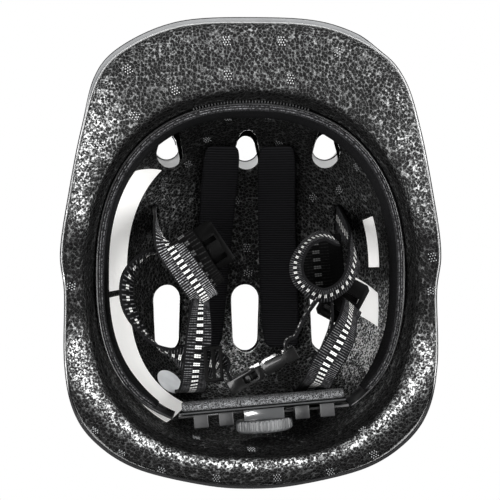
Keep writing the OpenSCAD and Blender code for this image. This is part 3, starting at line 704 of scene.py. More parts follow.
def millimetres(add: Add) -> Socket:
    """Adds object coordinates in millimetres."""
    return add("Mapping", add("TexCoord", out="Object"), named={"Scale": (1.0 / MM, 1.0 / MM, 1.0 / MM)})


@dataclass(frozen=True)
class Finish:
    """A finish: its name, its main colour and how its surface takes light."""

    name: str
    colour: str
    roughness: float = 0.5
    ior: float = 1.5
    metallic: float = 0.0
    coat: float = 0.0
    specular: float = 0.5

    def material(self) -> bpy.types.Material:
        """Makes the finish's material once.

        Returns:
            The material.
        """
        if self.name in bpy.data.materials:
            return bpy.data.materials[self.name]
        made = bpy.data.materials.new(self.name)
        made.use_nodes = True
        shader = made.node_tree.nodes["Principled BSDF"]
        values = {
            "Base Color": hex_colour(self.colour),
            "Roughness": self.roughness,
            "Metallic": self.metallic,
            "Coat Weight": self.coat,
            "Specular IOR Level": self.specular,
            "IOR": self.ior,
        }
        if self.metallic:
            del values["IOR"]
        for name, value in values.items():
            shader.inputs[name].default_value = value
        self.detail(partial(add_node, made.node_tree), shader)
        return made

    def detail(self, add: Add, shader: Node) -> None:
        """Adds the finish's pattern, roughness and relief to its shader."""

    def link(self, shader: Node, **sockets: Socket) -> None:
        """Links values to the shader, each under its socket's name with underscores for spaces."""
        for name, socket in sockets.items():
            shader.id_data.links.new(socket, shader.inputs[name.replace("_", " ")])

    def relief(self, add: Add, shader: Node, height: Socket, depth: float, strength: float) -> None:
        """Raises the surface by a height pattern, to a depth in millimetres of which a share shows."""
        bump = add("Bump", named={"Strength": strength, "Distance": depth * MM, "Height": height})
        self.link(shader, Normal=bump)


@dataclass(frozen=True)
class MouldedPlastic(Finish):
    """Injection-moulded plastic: a spark-eroded grain, uneven gloss and a little uneven colour."""

    tint: str = ""
    grain: float = 0.6
    grain_depth: float = 0.02
    mark: float = 17.0

    def detail(self, add: Add, shader: Node) -> None:
        """Adds grain, uneven gloss and uneven colour.

        Args:
            add: Adds a node to the material.
            shader: Its shader.
        """
        at = millimetres(add)
        marks = add("TexNoise", at, named=grains(self.mark, 4.0))
        gloss = add("MapRange", marks, 0.35, 0.7, self.roughness * 0.8, min(1.0, self.roughness * 1.3))
        colour = add("ValToRGB", marks, stops=((0.3, self.colour), (0.75, self.tint or self.colour)))
        self.link(shader, Roughness=gloss, Base_Color=colour)
        self.relief(add, shader, add("TexNoise", at, named=grains(self.grain)), self.grain_depth, 0.5)


@dataclass(frozen=True)
class ShellSheet(MouldedPlastic):
    """Thin white sheet plastic that lets some light through."""

    through: float = 0.55

    def detail(self, add: Add, shader: Node) -> None:
        """Adds the plastic's own detail and the light that comes through it.

        Args:
            add: Adds a node to the material.
            shader: Its shader.
        """
        super().detail(add, shader)
        glow = add("BsdfTranslucent", self.colour)
        show(shader.id_data, add("MixShader", self.through, shader.outputs[0], glow))


@dataclass(frozen=True)
class BeadFoam(Finish):
    """Expanded polystyrene: steam-fused beads with dark skins and pin-prick voids, the seams where they meet
    painted pale as painted highlight.
    """

    bead: float = 1.95
    patch: float = 9.0
    spark: float = 1.0
    # Seam colours from no painted light to full painted highlight; haze lifts the whole foam and widening
    # widens the seams by the same painted light
    seam: str = "E4E4E4"
    pale: str = "B0B1B1"
    middling: str = "5E5F5F"
    faint: str = "0B0B0B"
    pit: str = "030303"
    haze: float = 0.16
    widening: float = 0.14
    skin_shine: float = 0.18

    def detail(self, add: Add, shader: Node) -> None:
        """Adds the beads and voids, and the seams' painted highlight and painted glints as bright as the
        piece's painted_light attribute says.

        Args:
            add: Adds a node to the material.
            shader: Its shader.
        """
        at = millimetres(add)
        # The painted light level: the attribute times painted light patches and painted glints
        painted_light = add("Attribute", out="Fac", attribute_name="painted_light")
        patches = add("MapRange", add("TexNoise", at, named=grains(self.patch, 2.0)), 0.35, 0.65, 0.6, 1.3)
        sparks = add("MapRange", add("TexNoise", at, named=grains(self.spark, 2.0)), 0.42, 0.64, 0.1, 2.3)
        level = add("Math MULTIPLY", add("Math MULTIPLY", painted_light, patches), sparks)
        beads = {"Scale": 1.0 / self.bead, "Randomness": 0.95}
        middle = add("TexVoronoi", at, named=beads)
        near = add("TexVoronoi", at, named=beads, feature="DISTANCE_TO_EDGE")
        own = add("SeparateColor", middle.node.outputs["Color"])
        reach = add("Math ADD", middle, add("Math MULTIPLY", level, self.widening))
        line = add("MapRange", near, 0.01, 0.1, 0.7, 0.0)
        ridge = add("Math MAXIMUM", line, add("MapRange", reach, 0.54, 0.78, 0.0, 1.0))
        steps = ((0.0, self.faint), (0.15, self.middling), (0.42, self.pale), (0.8, self.seam))
        seams = add("ValToRGB", add("Math MULTIPLY", level, 0.5), stops=steps)
        skins = add("ValToRGB", own, stops=((0.1, self.pit), (0.9, self.colour)))
        share = add("Math MAXIMUM", ridge, add("Math MULTIPLY", level, self.haze))
        shine = add("MapRange", ridge, 0.0, 1.0, self.specular * self.skin_shine, self.specular)
        matt = add("MapRange", painted_light, -0.1, 0.15, 0.0, 1.0)
        self.link(
            shader,
            Base_Color=add("Mix", share, named={6: skins, 7: seams}, out=2, data_type="RGBA"),
            Roughness=add("MapRange", ridge, 0.0, 1.0, self.roughness * 1.2, self.roughness * 0.7),
            Specular_IOR_Level=add("Math MULTIPLY", shine, matt),
        )
        self.relief(add, shader, add("Math SUBTRACT", ridge, reach), 0.35, 0.8)


@dataclass(frozen=True)
class Cloth(Finish):
    """Brushed nylon cloth: a short dark pile that catches light at its tips."""

    tip: str = "3A3A3C"
    fibre: float = 0.45
    sheen: float = 0.25
    depth: float = 0.2

    def detail(self, add: Add, shader: Node) -> None:
        """Adds the pile's tips, relief and sheen.

        Args:
            add: Adds a node to the material.
            shader: Its shader.
        """
        pile = add("TexNoise", millimetres(add), named=grains(self.fibre, 5.0))
        shader.inputs["Sheen Weight"].default_value = self.sheen
        self.link(shader, Base_Color=add("ValToRGB", pile, stops=((0.42, self.colour), (0.68, self.tip))))
        self.relief(add, shader, pile, self.depth, 0.6)


@dataclass(frozen=True)
class RibbedCloth(Cloth):
    """Knitted cloth with ribs across the pad, fine enough to show only as a faint corduroy."""

    rib: float = 1.35
    fuzz: float = 0.6

    def detail(self, add: Add, shader: Node) -> None:
        """Adds the ribs and the yarn's fuzz.

        Args:
            add: Adds a node to the material.
            shader: Its shader.
        """
        at = millimetres(add)
        y = add("SeparateXYZ", at, out="Y")
        wave = add("Math SINE", add("Math MULTIPLY", y, tau / self.rib))
        fuzz = add("Math MULTIPLY", add("TexNoise", at, named=grains(self.fibre, 4.0)), self.fuzz)
        knit = add("Math ADD", add("MapRange", wave, -1.0, 1.0, 0.0, 1.0), fuzz)
        shader.inputs["Sheen Weight"].default_value = self.sheen
        self.link(shader, Base_Color=add("ValToRGB", knit, stops=((0.3, self.colour), (1.0, self.tip))))
        self.relief(add, shader, knit, self.depth, 0.8)


@dataclass(frozen=True)
class WovenWebbing(Finish):
    """Polyester webbing: black warp with a centre column of pale blocks and fine grey floats on each side."""

    width: float = 15.0
    block: str = "E8E8E6"
    fleck: str = "6E6E70"
    warp: float = 1.7
    block_pitch: float = 4.1
    block_half: float = 2.0
    block_share: float = 0.47
    block_yarn: float = 1.33
    pick: float = 1.6
    selvedge: float = 0.6
    slub: float = 2.6

    def detail(self, add: Add, shader: Node) -> None:
        """Adds the woven pattern from the strap's own UV map, in millimetres.

        Args:
            add: Adds a node to the material.
            shader: Its shader.
        """
        run = add("SeparateXYZ", add("TexCoord", out="UV"))
        off = add("Math SUBTRACT", run.node.outputs["Y"], self.width / 2.0)
        far = add("Math ABSOLUTE", off)
        # The whole number of warps keeps the sum positive for the fraction
        warp = add("Math FRACT", add("Math ADD", add("Math DIVIDE", off, self.warp), 40.5))
        yarn = add("Math PINGPONG", warp, 0.5)
        pick = add("Math PINGPONG", add("Math DIVIDE", run, self.pick), 0.5)
        rib = add("MapRange", pick, 0.34, 0.46, 0.0, 1.0)
        block_run = add("Math FRACT", add("Math DIVIDE", run, self.block_pitch))
        in_run = add("Math LESS_THAN", block_run, self.block_share)
        shown = add("Math MULTIPLY", in_run, add("Math LESS_THAN", far, self.block_half))
        line = add("Math PINGPONG", add("Math DIVIDE", block_run, self.block_share / 2.0), 0.5)
        column = add("Math PINGPONG", add("Math ADD", add("Math DIVIDE", off, self.block_yarn), 0.5), 0.5)
        floats = add("MapRange", line, 0.12, 0.34, 0.1, 1.0)
        yarns = add("Math MULTIPLY", floats, add("MapRange", column, 0.06, 0.16, 0.3, 1.0))
        outside = add("Math GREATER_THAN", far, self.block_half)
        inside = add("Math LESS_THAN", far, self.width / 2.0 - self.selvedge)
        beside = add("Math MULTIPLY", outside, inside)
        uneven = add("TexNoise", millimetres(add), named=grains(self.slub, 2.0))
        slub = add("MapRange", uneven, 0.38, 0.66, 0.25, 1.3)
        dots = add("Math MULTIPLY", add("MapRange", yarn, 0.06, 0.14, 0.2, 1.0), slub)
        flecks = add("Math MULTIPLY", beside, add("Math MULTIPLY", rib, dots))
        base = add("Mix", flecks, named={6: self.colour, 7: self.fleck}, out=2, data_type="RGBA")
        blocks = add("Math MULTIPLY", shown, yarns)
        woven = add("Mix", blocks, named={6: base, 7: self.block}, out=2, data_type="RGBA")
        self.link(shader, Base_Color=woven)
        self.relief(add, shader, add("Math ADD", pick, yarn), 0.3, 0.8)


@dataclass(frozen=True)
class LabelFilm(Finish):
    """Printed-label film with nothing printed: a smooth pale skin that shows the foam's beads under it."""

    shadow: str = "E6E6E4"
    bead: float = 2.6
    dust: float = 8.0
    painted_glow: float = 0.14

    def detail(self, add: Add, shader: Node) -> None:
        """Adds the telegraphed beads, a soft unevenness and a painted glow that lifts the label out of its
        shade.

        Args:
            add: Adds a node to the material.
            shader: Its shader.
        """
        # Painted glow: the label's own colour given off as emission
        shader.inputs["Emission Color"].default_value = hex_colour(self.colour)
        shader.inputs["Emission Strength"].default_value = self.painted_glow
        at = millimetres(add)
        dust = add("TexNoise", at, named=grains(self.dust, 6.0))
        self.link(shader, Base_Color=add("ValToRGB", dust, stops=((0.35, self.colour), (0.8, self.shadow))))
        self.relief(add, shader, add("TexVoronoi", at, named={"Scale": 1.0 / self.bead}), 0.12, 0.35)


@dataclass(frozen=True)
class DrawnSteel(Finish):
    """Plated steel wire or pressing, with fine drawn lines."""

    line: float = 0.4

    def detail(self, add: Add, shader: Node) -> None:
        """Adds drawn lines to the gloss.

        Args:
            add: Adds a node to the material.
            shader: Its shader.
        """
        lines = add("TexNoise", millimetres(add), named=grains(self.line))
        gloss = add("MapRange", lines, 0.3, 0.7, self.roughness * 0.7, self.roughness * 1.4)
        self.link(shader, Roughness=gloss)
        self.relief(add, shader, lines, 0.02, 0.4)


# ABS skin, vacuum formed and high gloss: it mirrors the room in a clear coat
SHELL = ShellSheet("abs_gloss_white", "F0F0F0", 0.16, coat=0.6, tint="E8E9E9", grain=3.0, grain_depth=0.01)
# The same sheet where it is rolled at the visor's edge: dull, and painted darker grey as painted shade
SHELL_EDGE = MouldedPlastic("abs_edge_painted_shade", "727374", 0.45, specular=0.3, tint="7E7F80", grain=0.5)
# Black bead foam: dark bead skins and fused seams, painted pale as painted highlight and painted glints by
# the painted_light attribute
FOAM = BeadFoam("eps_bead_foam_black", "0E0E0E", 0.45, ior=1.59, specular=0.45)
# Dots where the mould's steam vents stood: bare foam, burnished by the tool, with a darker copy for the marks
# in shade, painted shade
PIPS = MouldedPlastic("eps_steam_mark", "D4D4D4", 0.5, tint="7E7F80", grain=0.8)
PIPS_PAINTED_SHADE = MouldedPlastic("eps_steam_mark_painted_shade", "9C9D9E", 0.6, specular=0.2, tint="5A5B5C", grain=0.8)
# Black strips with little gloss that stand for shadow lines, painted shadow: along the foam's edge at the
# shell, under the visor's roll and at the front vents' cut edges
SHADOW_STRIP = MouldedPlastic("black_painted_shadow_line", "0B0B0C", 0.5, specular=0.2, tint="161617")
# The ring's moulded nylon: near black with a thin gleam along its edge
BAND = MouldedPlastic("nylon_band_black", "0C0C0D", 0.3, coat=0.4, tint="131314", grain=0.5)
# The ring's brushed cloth: a matt black that swallows the light
RING_CLOTH = Cloth("brushed_nylon_black", "050506", 0.95, specular=0.05, tip="1E1E1F", fibre=0.6, sheen=0.0)
# The pad's overlocked lower edge: cut foam laminate with a paler pile than the face, partly painted light
# where the edge faces the lamps
RING_EDGE = Cloth(
    "overlocked_yarn_and_painted_light", "060606", 0.9, specular=0.1, tip="2E2E30", fibre=0.7, sheen=0.0, depth=0.4
)
# The seams on that edge: two dotted grey lines
STITCHES = Cloth(
    "stitched_yarn_grey", "080808", 0.8, specular=0.1, tip="6C6C6E", fibre=0.9, sheen=0.0, depth=0.3
)
# The crown pads' knit: matt black with a faint corduroy
PAD_CLOTH = RibbedCloth(
    "ribbed_knit_black", "060606", 0.95, specular=0.05, tip="1F1F21", sheen=0.0, depth=0.25
)
# The rear pad's brushed laminate: grey tips on a black ground
FLEECE = Cloth(
    "brushed_foam_laminate", "0C0C0C", 0.9, specular=0.1, tip="8E8F91", fibre=0.55, sheen=0.0, depth=0.5
)
# Polyester webbing: white blocks down the middle of fine grey weft lines
WEBBING = WovenWebbing("polyester_webbing_black", "050506", 0.8, specular=0.1)
# The left front strap: the same weave with paler grey picks
WEBBING_PALE_PICKS = WovenWebbing(
    "polyester_webbing_pale_picks", "050506", 0.75, specular=0.15, fleck="ACACAE", block_pitch=4.4, pick=1.9
)
# The straps' folded plies, in the shade of the dividers: the same weave painted darker, painted shade
WEBBING_PAINTED_SHADE = WovenWebbing(
    "polyester_webbing_painted_shade", "030303", 0.85, specular=0.05, block="4A4A4A", fleck="1E1E1E"
)
# White vinyl film: bright, with a soft unevenness from the foam beneath and a painted glow that lifts the
# shadows on it
LABEL = LabelFilm("vinyl_label_white", "DEDDDB", 0.5, specular=0.3, shadow="D2D2D0", painted_glow=0.48)
# Silver vinyl film: a cooler grey, a little glossier, with a weaker painted glow
SILVER = LabelFilm("vinyl_label_silver", "D2D4D6", 0.4, shadow="B4B6B8")
# Hook tape: a coarse dark pile
HOOKS = Cloth("nylon_hook_tape", "101010", 0.7, specular=0.2, tip="2A2A2A", fibre=1.0, depth=0.4)
# Moulded acetal in the shade: black without a highlight
BLACK_PLASTIC = MouldedPlastic("acetal_black", "020202", 0.35, specular=0.05, tint="030303", grain=0.4)
# The ring's teeth: dark grey nylon
TOOTH_PLASTIC = MouldedPlastic("nylon_teeth_black", "1A1A1B", 0.4, tint="262627", grain=0.5)
# The guide clips: grained nylon that greys in the light
CLIP_PLASTIC = MouldedPlastic("nylon_clip_grey", "101011", 0.4, tint="343435", grain=0.7, grain_depth=0.1)
# The toothed tails: smooth nylon strip with a thin gloss
STRIP_PLASTIC = MouldedPlastic(
    "nylon_strip_gloss", "060607", 0.3, specular=0.35, tint="0C0C0D", grain=0.5, coat=0.16
)
# A grey bead along the plate's lower edge: a painted highlight on the black plate
BEAD_HIGHLIGHT = MouldedPlastic("nylon_bead_painted_highlight", "2E2F30", 0.35, tint="3C3D3E", grain=0.5, coat=0.2)
# The dial's housing: glossy nylon that shows a white highlight
HOUSING_PLASTIC = MouldedPlastic("nylon_housing_gloss", "3E3F40", 0.2, tint="3E3F40", grain=0.5, coat=0.8)
# The knob: grey nylon whose ribs catch the light
KNOB_PLASTIC = MouldedPlastic("nylon_knob_grey", "3E3F40", 0.32, tint="5E5F60", grain=0.35, grain_depth=0.05)
# The buckle: smooth black acetal with one soft highlight along it
BUCKLE_PLASTIC = MouldedPlastic(
    "acetal_buckle_black", "030303", 0.24, specular=0.15, tint="070707", grain=0.5, coat=0.16
)
# Zinc-plated steel: a bright metal with fine drawn lines
STEEL = DrawnSteel("zinc_plated_steel", "C4C6C8", 0.3, metallic=1.0)
# The studio's floor: pale and matt
FLOOR = MouldedPlastic("studio_floor_pale", "F2F2F1", 0.8, tint="EFEFEE", grain=4.0)


# Sub-assemblies


@dataclass
class Moulding:
    """A hard piece: its CAD node with flat faces joined and its edges rounded, as a mould leaves them."""

    node: str
    name: str
    edge: float
    finish: Finish
    body: Body = Body.HELMET
    segments: int = 2

    def build(self) -> None:
        """Builds the piece from its node's loose triangles and dresses it."""
        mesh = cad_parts[self.node].data.copy()
        mesh.name = self.name
        piece = bpy.data.objects.new(self.name, mesh)
        bpy.context.scene.collection.objects.link(piece)
        select_only(piece)
        bpy.ops.mesh.customdata_custom_splitnormals_clear()
        with editing(piece):
            bpy.ops.mesh.remove_doubles(threshold=0.004 * MM)
        with editing(piece):
            bpy.ops.mesh.dissolve_limited(angle_limit=radians(1.0))
        round_edges(piece, self.edge, 30.0, 40.0, self.segments)
        dress(piece, self.finish, self.node, body=self.body)


@dataclass
class Padding:
    """A padded piece: a closed form with rounded sides and ends."""

    node: str
    name: str
    finish: Finish
    fill: float
    columns: int
    squareness: float
    end: float = 30.0
    rows: int = 40

    def build(self, lay: Callable[[float, float, float], Vector]) -> None:
        """Builds the piece and dresses it.

        Args:
            lay: Gives a point in millimetres from shares of -1 to 1 along, across and through it.
        """

        def place(u: float, v: float) -> Vector:
            """Places a point of the grid on the form.

            Args:
                u: Share of the way along.
                v: Share of the way round its section.

            Returns:
                The point.
            """
            run = sin(pi * (u - 0.5))
            full = (1.0 - abs(run) ** self.end) ** (1.0 / self.end) if abs(run) < 1.0 else 0.0
            across = power(cos(tau * v), 2.0 / self.squareness) * full
            return lay(run, across, power(sin(tau * v), 2.0 / self.squareness) * full)

        piece = laid_grid(self.name, self.columns, self.rows, place, (1.0, 1.0))
        dress(piece, self.finish, self.node)


@dataclass
class Vent:
    """One vent's cut: a round-ended slot with its own width at each end, leaning about a pivot height."""

    x: float
    y: float
    front: float
    rear: float
    length: float
    lean: float = 0.0
    pivot: float = 130.0
    base: float = 52.0
    height: float = 146.0

    def cutter(self, short: float = 0.0) -> Piece:
        """Makes the vent's cutter.

        Args:
            short: Taken off the rear end.

        Returns:
            The cutter.
        """
        half = self.length / 2.0
        piece = add_primitive("cylinder", vertices=48, radius=1.0, depth=2.0)
        for vertex in piece.data.vertices:
            rear = vertex.co.y > 0.0
            radius = (self.rear if rear else self.front) / 2.0
            middle = half - radius - short if rear else radius - half
            spot = (vertex.co.x * radius, vertex.co.y * radius + middle, vertex.co.z * self.height / 2.0)
            vertex.co = Vector(spot) * MM
        low = shift(0.0, 0.0, self.base - self.pivot + self.height / 2.0)
        piece.data.transform(shift(self.x, self.y, self.pivot) @ turned(self.lean, "Y") @ low)
        return piece


@dataclass
class Shell:
    """The white outer shell: a thin vacuum-formed dome with six vents."""

    columns: int = 260
    rows: int = 64
    front_short: float = 6.9
    strip_drop: float = 0.1
    strip_tall: float = 0.6
    vent_edge: float = 0.25
    vent_edge_half: float = 0.33
    vents: list[Vent] = field(
        default_factory=lambda: [
            Vent(side * 47.5, y, front, rear, length, side * 3.0)
            for side in (-1.0, 0.0, 1.0)
            for y, front, rear, length in ((-60.0, 11.2, 16.0, 21.0), (38.0, 17.0, 15.3, 40.0))
        ]
    )

    def build(self) -> None:
        """Builds the shell, its vents, the strips along its edge and the dark strips at the vents' cut edges,
        painted shadow.
        """
        size = (self.columns, self.rows)
        skin = laid_grid(
            "outer_shell_skin", *size, lambda u, v: FORM.shell(u, sin(pi / 2.0 * v)), (700.0, 220.0)
        )
        add_modifier(skin, "SOLIDIFY", thickness=FORM.wall * MM, offset=-1.0)
        cut(skin, [vent.cutter(self.front_short if vent.y < 0.0 else 0.0) for vent in self.vents])
        shade(skin, 50.0)
        dress(skin, SHELL, "outer_shell")
        # A dark strip round the foam's edge as painted shadow line, the visor's rolled edge in painted shade
        # grey, and the painted shadow line under it
        self.strip("shell_edge_shadow_line", SHADOW_STRIP, self.nape, (-1.2, -0.55), (0.38, 0.95))
        self.strip("visor_edge_roll", SHELL_EDGE, self.roll, (-0.6, 0.55), (0.02, 1.32))
        self.strip("shell_edge_line", SHADOW_STRIP, self.roll, (0.1, 1.95), (0.26, 0.26))
        tree = BVHTree.FromObject(skin, bpy.context.evaluated_depsgraph_get())
        lines = [self.vent_line(tree, vent, -50.0 if vent.x < -1.0 else 0.0) for vent in self.vents[::2]]
        dress(join(lines, "vent_edge_shadow_lines"), SHADOW_STRIP)

    def nape(self, rim: Vector) -> float:
        """Returns the nape's share at a point of the rim."""
        return ease((rim.y - 60.0) / 30.0)

    def roll(self, rim: Vector) -> float:
        """Returns the share of the visor's roll, which runs further round on the left."""
        return ease((-rim.y - 70.0) / 30.0) * ease((72.0 - rim.x) / 16.0)

    def strip(
        self, name: str, finish: Finish, share: Callable[[Vector], float], offsets: Pair, halves: Pair
    ) -> None:
        """Builds a rounded strip that follows the shell's edge.

        Args:
            name: The strip's name.
            finish: Its finish.
            share: Gives how far it is from its plain to its full form at a point of the rim.
            offsets: How far outside the rim's outline its plain and its full form lie.
            halves: Half of the width of each form.
        """

        def path(u: float) -> tuple[Vector, ...]:
            """Gives the strip's middle and half widths.

            Args:
                u: Share of the way round.

            Returns:
                The middle and the two half widths.
            """
            rim, distance, way = FORM.spoke(u)
            half = mix(*halves, share(rim))
            middle = FORM.at(way, distance + mix(*offsets, share(rim)), FORM.edge_z(rim) - self.strip_drop)
            return middle, way.to_3d() * half, Vector((0.0, 0.0, min(half, self.strip_tall)))

        dress(tube(name, 360, 10, path, (700.0, 3.0)), finish)

    def vent_line(self, tree: BVHTree, vent: Vent, start: float) -> Piece:
        """Adds the shell's cut edge across a front vent as a dark strip, painted shadow.

        Args:
            tree: The shell's faces.
            vent: The vent.
            start: Degrees round the vent's outline at which the edge begins.

        Returns:
            The edge.
        """

        def path(u: float) -> tuple[Vector, ...]:
            """Gives the edge's middle and half widths.

            Args:
                u: Share of the way along.

            Returns:
                The middle and the two half widths.
            """
            way = way_at(mix(start, 180.0, u)).to_3d()
            rear = way.y > 0.0
            radius = (vent.rear if rear else vent.front) / 2.0
            end = vent.length / 2.0 - radius
            foot = Vector((vent.x, vent.y + (end - self.front_short if rear else -end), 60.0))
            foot += way * (radius + self.vent_edge)
            rays = (tree.ray_cast((foot + way * out) * MM, Vector((0.0, 0.0, 1.0)))[0] for out in range(9))
            z = next(hit.z for hit in rays if hit) / MM
            middle = Vector((foot.x, foot.y, z))
            return middle, way * self.vent_edge_half, Vector((0.0, 0.0, self.vent_edge))

        return tube("vent_edge_shadow_line", 48, 8, path, (20.0, 2.0))


@dataclass
class Liner:
    """The bead foam liner with its rim, cavity, vents, strap slots and steam marks."""

    shell: Shell
    columns: int = 260
    inner_rows: int = 56
    under_rows: int = 28
    outer_rows: int = 56
    skin_gap: float = 0.3
    voxel: float = 1.75
    slot_gap: float = 4.0
    slot_run: float = 17.0
    slot_base: float = 31.0
    slot_top: float = 180.0
    slots: tuple[tuple[float, float, bool], ...] = (
        (-53.0, -21.0, True), (53.0, -21.0, True), (-34.0, 78.0, False), (34.0, 78.0, False),
    )  # fmt: skip
    # Painted light on the cavity's foam; on the vents' walls a level that paints none and makes them matt
    cavity_painted_light: float = 0.045
    wall_painted_light: float = -0.1
    wall_reach: float = 2.0
    # Each lit patch of the cavity: its middle in the plan, its radius and what it adds
    patches: tuple[tuple[float, float, float, float], ...] = (
        (-12, 58, 18, 17.0), (75, 52, 27, 26.0), (68, -30, 22, 1.6), (-50, -30, 16, 5.0), (-8, -20, 20, 1.2),
    )  # fmt: skip
    # At the rim's sides, nape and visor: the plain foam's painted light and the reach of the painted
    # highlight line
    plain: Triple = (0.2, 0.03, 0.15)
    line_reach: Triple = (0.3, 0.13, 0.2)
    # The painted highlight line's strength at the left, the right and the visor, and what its rear half adds
    line: Triple = (0.7, 0.38, 0.2)
    line_rear: float = 0.2
    # At the ears, the painted light of the plain foam and of the painted highlight line
    ears: Pair = (0.02, 0.03)
    nub: float = 0.3
    nub_depth: float = 0.7
    nub_pitch: float = 1.4
    cavity_from: float = 14.0
    # Where each steam mark is seen from below, on the plane of the rim
    steam_marks: tuple[Pair, ...] = (
        (-13, -112), (16, -112), (46, -106), (-65, -97), (-13, -94), (20, -92), (-41, -86), (-62, -72),
        (-24, -60), (14, -58), (-34, -47), (-47, -36), (55, -46), (46, -34), (32, -30), (-9, -28),
        (-81, -56), (-95, 17), (95, 2), (95, 20), (59, 93), (0, 103), (-29, 97), (-48, 114),
        (-19, 118), (13, 118), (41, 115), (64, 106), (-69, 105), (-83, 93), (-13, -71), (8, -72),
        (36, -9), (-3, -3), (-2, 10),
    )  # fmt: skip

    @property
    def rows(self) -> int:
        """Faces from the cavity's roof to the crown."""
        return self.inner_rows + self.under_rows + self.outer_rows

    def face(self, share: float, run: float) -> Vector:
        """Returns a point of the foam, from the cavity's roof down, under the rim and up to the crown.

        Args:
            share: Share of the way round.
            run: Share of the way from roof to crown.

        Returns:
            The point.
        """
        row = run * self.rows
        if row <= self.inner_rows:
            return FORM.inner(share, cos(pi / 2.0 * row / self.inner_rows))
        row -= self.inner_rows
        if row <= self.under_rows:
            return FORM.under(share, 1.0 - row / self.under_rows)
        up = sin(pi / 2.0 * (row - self.under_rows) / self.outer_rows)
        return FORM.outer(share, up, self.skin_gap * clamp(up / 0.05))

    def painted_light(self, share: float, run: float) -> float:
        """Returns the painted light on the bead seams at a place of the foam: a painted highlight line along
        the rim, painted light patches in the cavity.

        Args:
            share: Share of the way round.
            run: Share of the way from the cavity's roof to the crown.

        Returns:
            From 0 for no painted light to 1 for seams painted fully lit.
        """
        row = run * self.rows - self.inner_rows
        if row < -1.0:
            spot = self.face(share, run)
            gains = [
                gain * exp(-((spot.x - x) ** 2 + (spot.y - y) ** 2) / radius**2)
                for x, y, radius, gain in self.patches
            ]
            return self.cavity_painted_light * (1.0 + ease((-row - 2.0) / 6.0) * sum(gains))
        if row > self.under_rows + 1.0:
            return self.cavity_painted_light
        rim = FORM.rim(share)
        inward = 1.0 - clamp(row / self.under_rows)
        brow, rear = FORM.brow(rim), ease((rim.y - 55.0) / 35.0)
        ear = ease(2.0 - abs(rim.y - 12.0) / 20.0)
        side, nape, visor = self.plain
        base = mix(mix(mix(side, nape, rear), visor, brow), self.ears[0], ear)
        side, nape, visor = self.line_reach
        width = mix(mix(side, nape, rear), visor, brow)
        left, right, visor = self.line
        full = mix(left, right, ease((rim.x + 60.0) / 120.0) * (1.0 - rear))
        full += self.line_rear * ease((rim.y - 30.0) / 30.0) * (1.0 - rear)
        glow = mix(mix(full, visor, brow * ease((rim.x + 102.0) / 25.0)), self.ears[1], ear)
        off = (inward - FORM.ridge(rim)) / width
        lip = ease((1.0 - inward) / mix(0.1, 0.25, brow))
        return (base + (glow - base) * exp(-off * off)) * lip

    def build(self) -> None:
        """Builds the foam, its painted light attribute and its steam marks."""
        foam = laid_grid("bead_foam_liner", self.columns, self.rows, self.face, (700.0, 400.0))
        cutters = [vent.cutter() for vent in self.shell.vents]
        for x, y, lengthways in self.slots:
            half_x, half_y = self.slot_gap / 2.0, self.slot_run / 2.0
            if not lengthways:
                half_x, half_y = half_y, half_x
            low, high = (x - half_x, y - half_y, self.slot_base), (x + half_x, y + half_y, self.slot_top)
            cutters.append(box(low, high))
        cut(foam, cutters)
        add_modifier(foam, "REMESH", mode="VOXEL", voxel_size=self.voxel * MM)
        add_modifier(foam, "SMOOTH", factor=0.5, iterations=2)
        shade(foam)
        self.paint(foam)
        dress(foam, FOAM, "eps_liner")
        self.mark(foam)

    def paint(self, foam: Piece) -> None:
        """Writes the painted light of every point of the foam as its attribute, none and matt on the vents'
        walls.

        Args:
            foam: The finished foam.
        """
        rows = self.rows
        places = [(c / self.columns, r / rows) for c in range(self.columns) for r in range(rows + 1)]
        tree = KDTree(len(places))
        for index, (share, run) in enumerate(places):
            tree.insert(self.face(share, run) * MM, index)
        tree.balance()
        levels = []
        for vertex in foam.data.vertices:
            _, index, off = tree.find(vertex.co)
            levels.append(self.wall_painted_light if off > self.wall_reach * MM else self.painted_light(*places[index]))
        foam.data.attributes.new("painted_light", "FLOAT", "POINT").data.foreach_set("value", levels)

    def mark(self, foam: Piece) -> None:
        """Sets the clusters of dots that the mould's steam vents left on the foam.

        Args:
            foam: The finished foam.
        """
        nubs = []
        for row in range(-2, 2):
            for column in range(-1, 2):
                nub = add_primitive("cylinder", vertices=6, radius=self.nub * MM, depth=self.nub_depth * MM)
                x = (column - 0.5 * (row % 2)) * self.nub_pitch
                nub.data.transform(shift(x, (row + 0.5) * self.nub_pitch, 0.0))
                nubs.append(nub)
        cluster = join(nubs, "steam_cluster")
        tree = BVHTree.FromObject(foam, bpy.context.evaluated_depsgraph_get())
        eye = Vector(Studio.eye) * MM
        marks: dict[bool, list[Piece]] = {False: [], True: []}
        for x, y in self.steam_marks:
            spot, normal = tree.ray_cast(eye, (Vector((x, y, 0.0)) * MM - eye).normalized())[:2]
            if spot is None:
                continue
            copy = cluster.copy()
            copy.data = cluster.data.copy()
            bpy.context.scene.collection.objects.link(copy)
            turn = normal.to_track_quat("Z", "Y").to_matrix().to_4x4()
            copy.data.transform(Matrix.Translation(spot) @ turn)
            # Marks high in the cavity or on the rear half take the darker copy, painted shade
            marks[spot.z > self.cavity_from * MM or spot.y > 0.0].append(copy)
        remove(cluster)
        dress(join(marks[False], "steam_marks_visor"), PIPS)
        dress(join(marks[True], "steam_marks_painted_shade"), PIPS_PAINTED_SHADE)


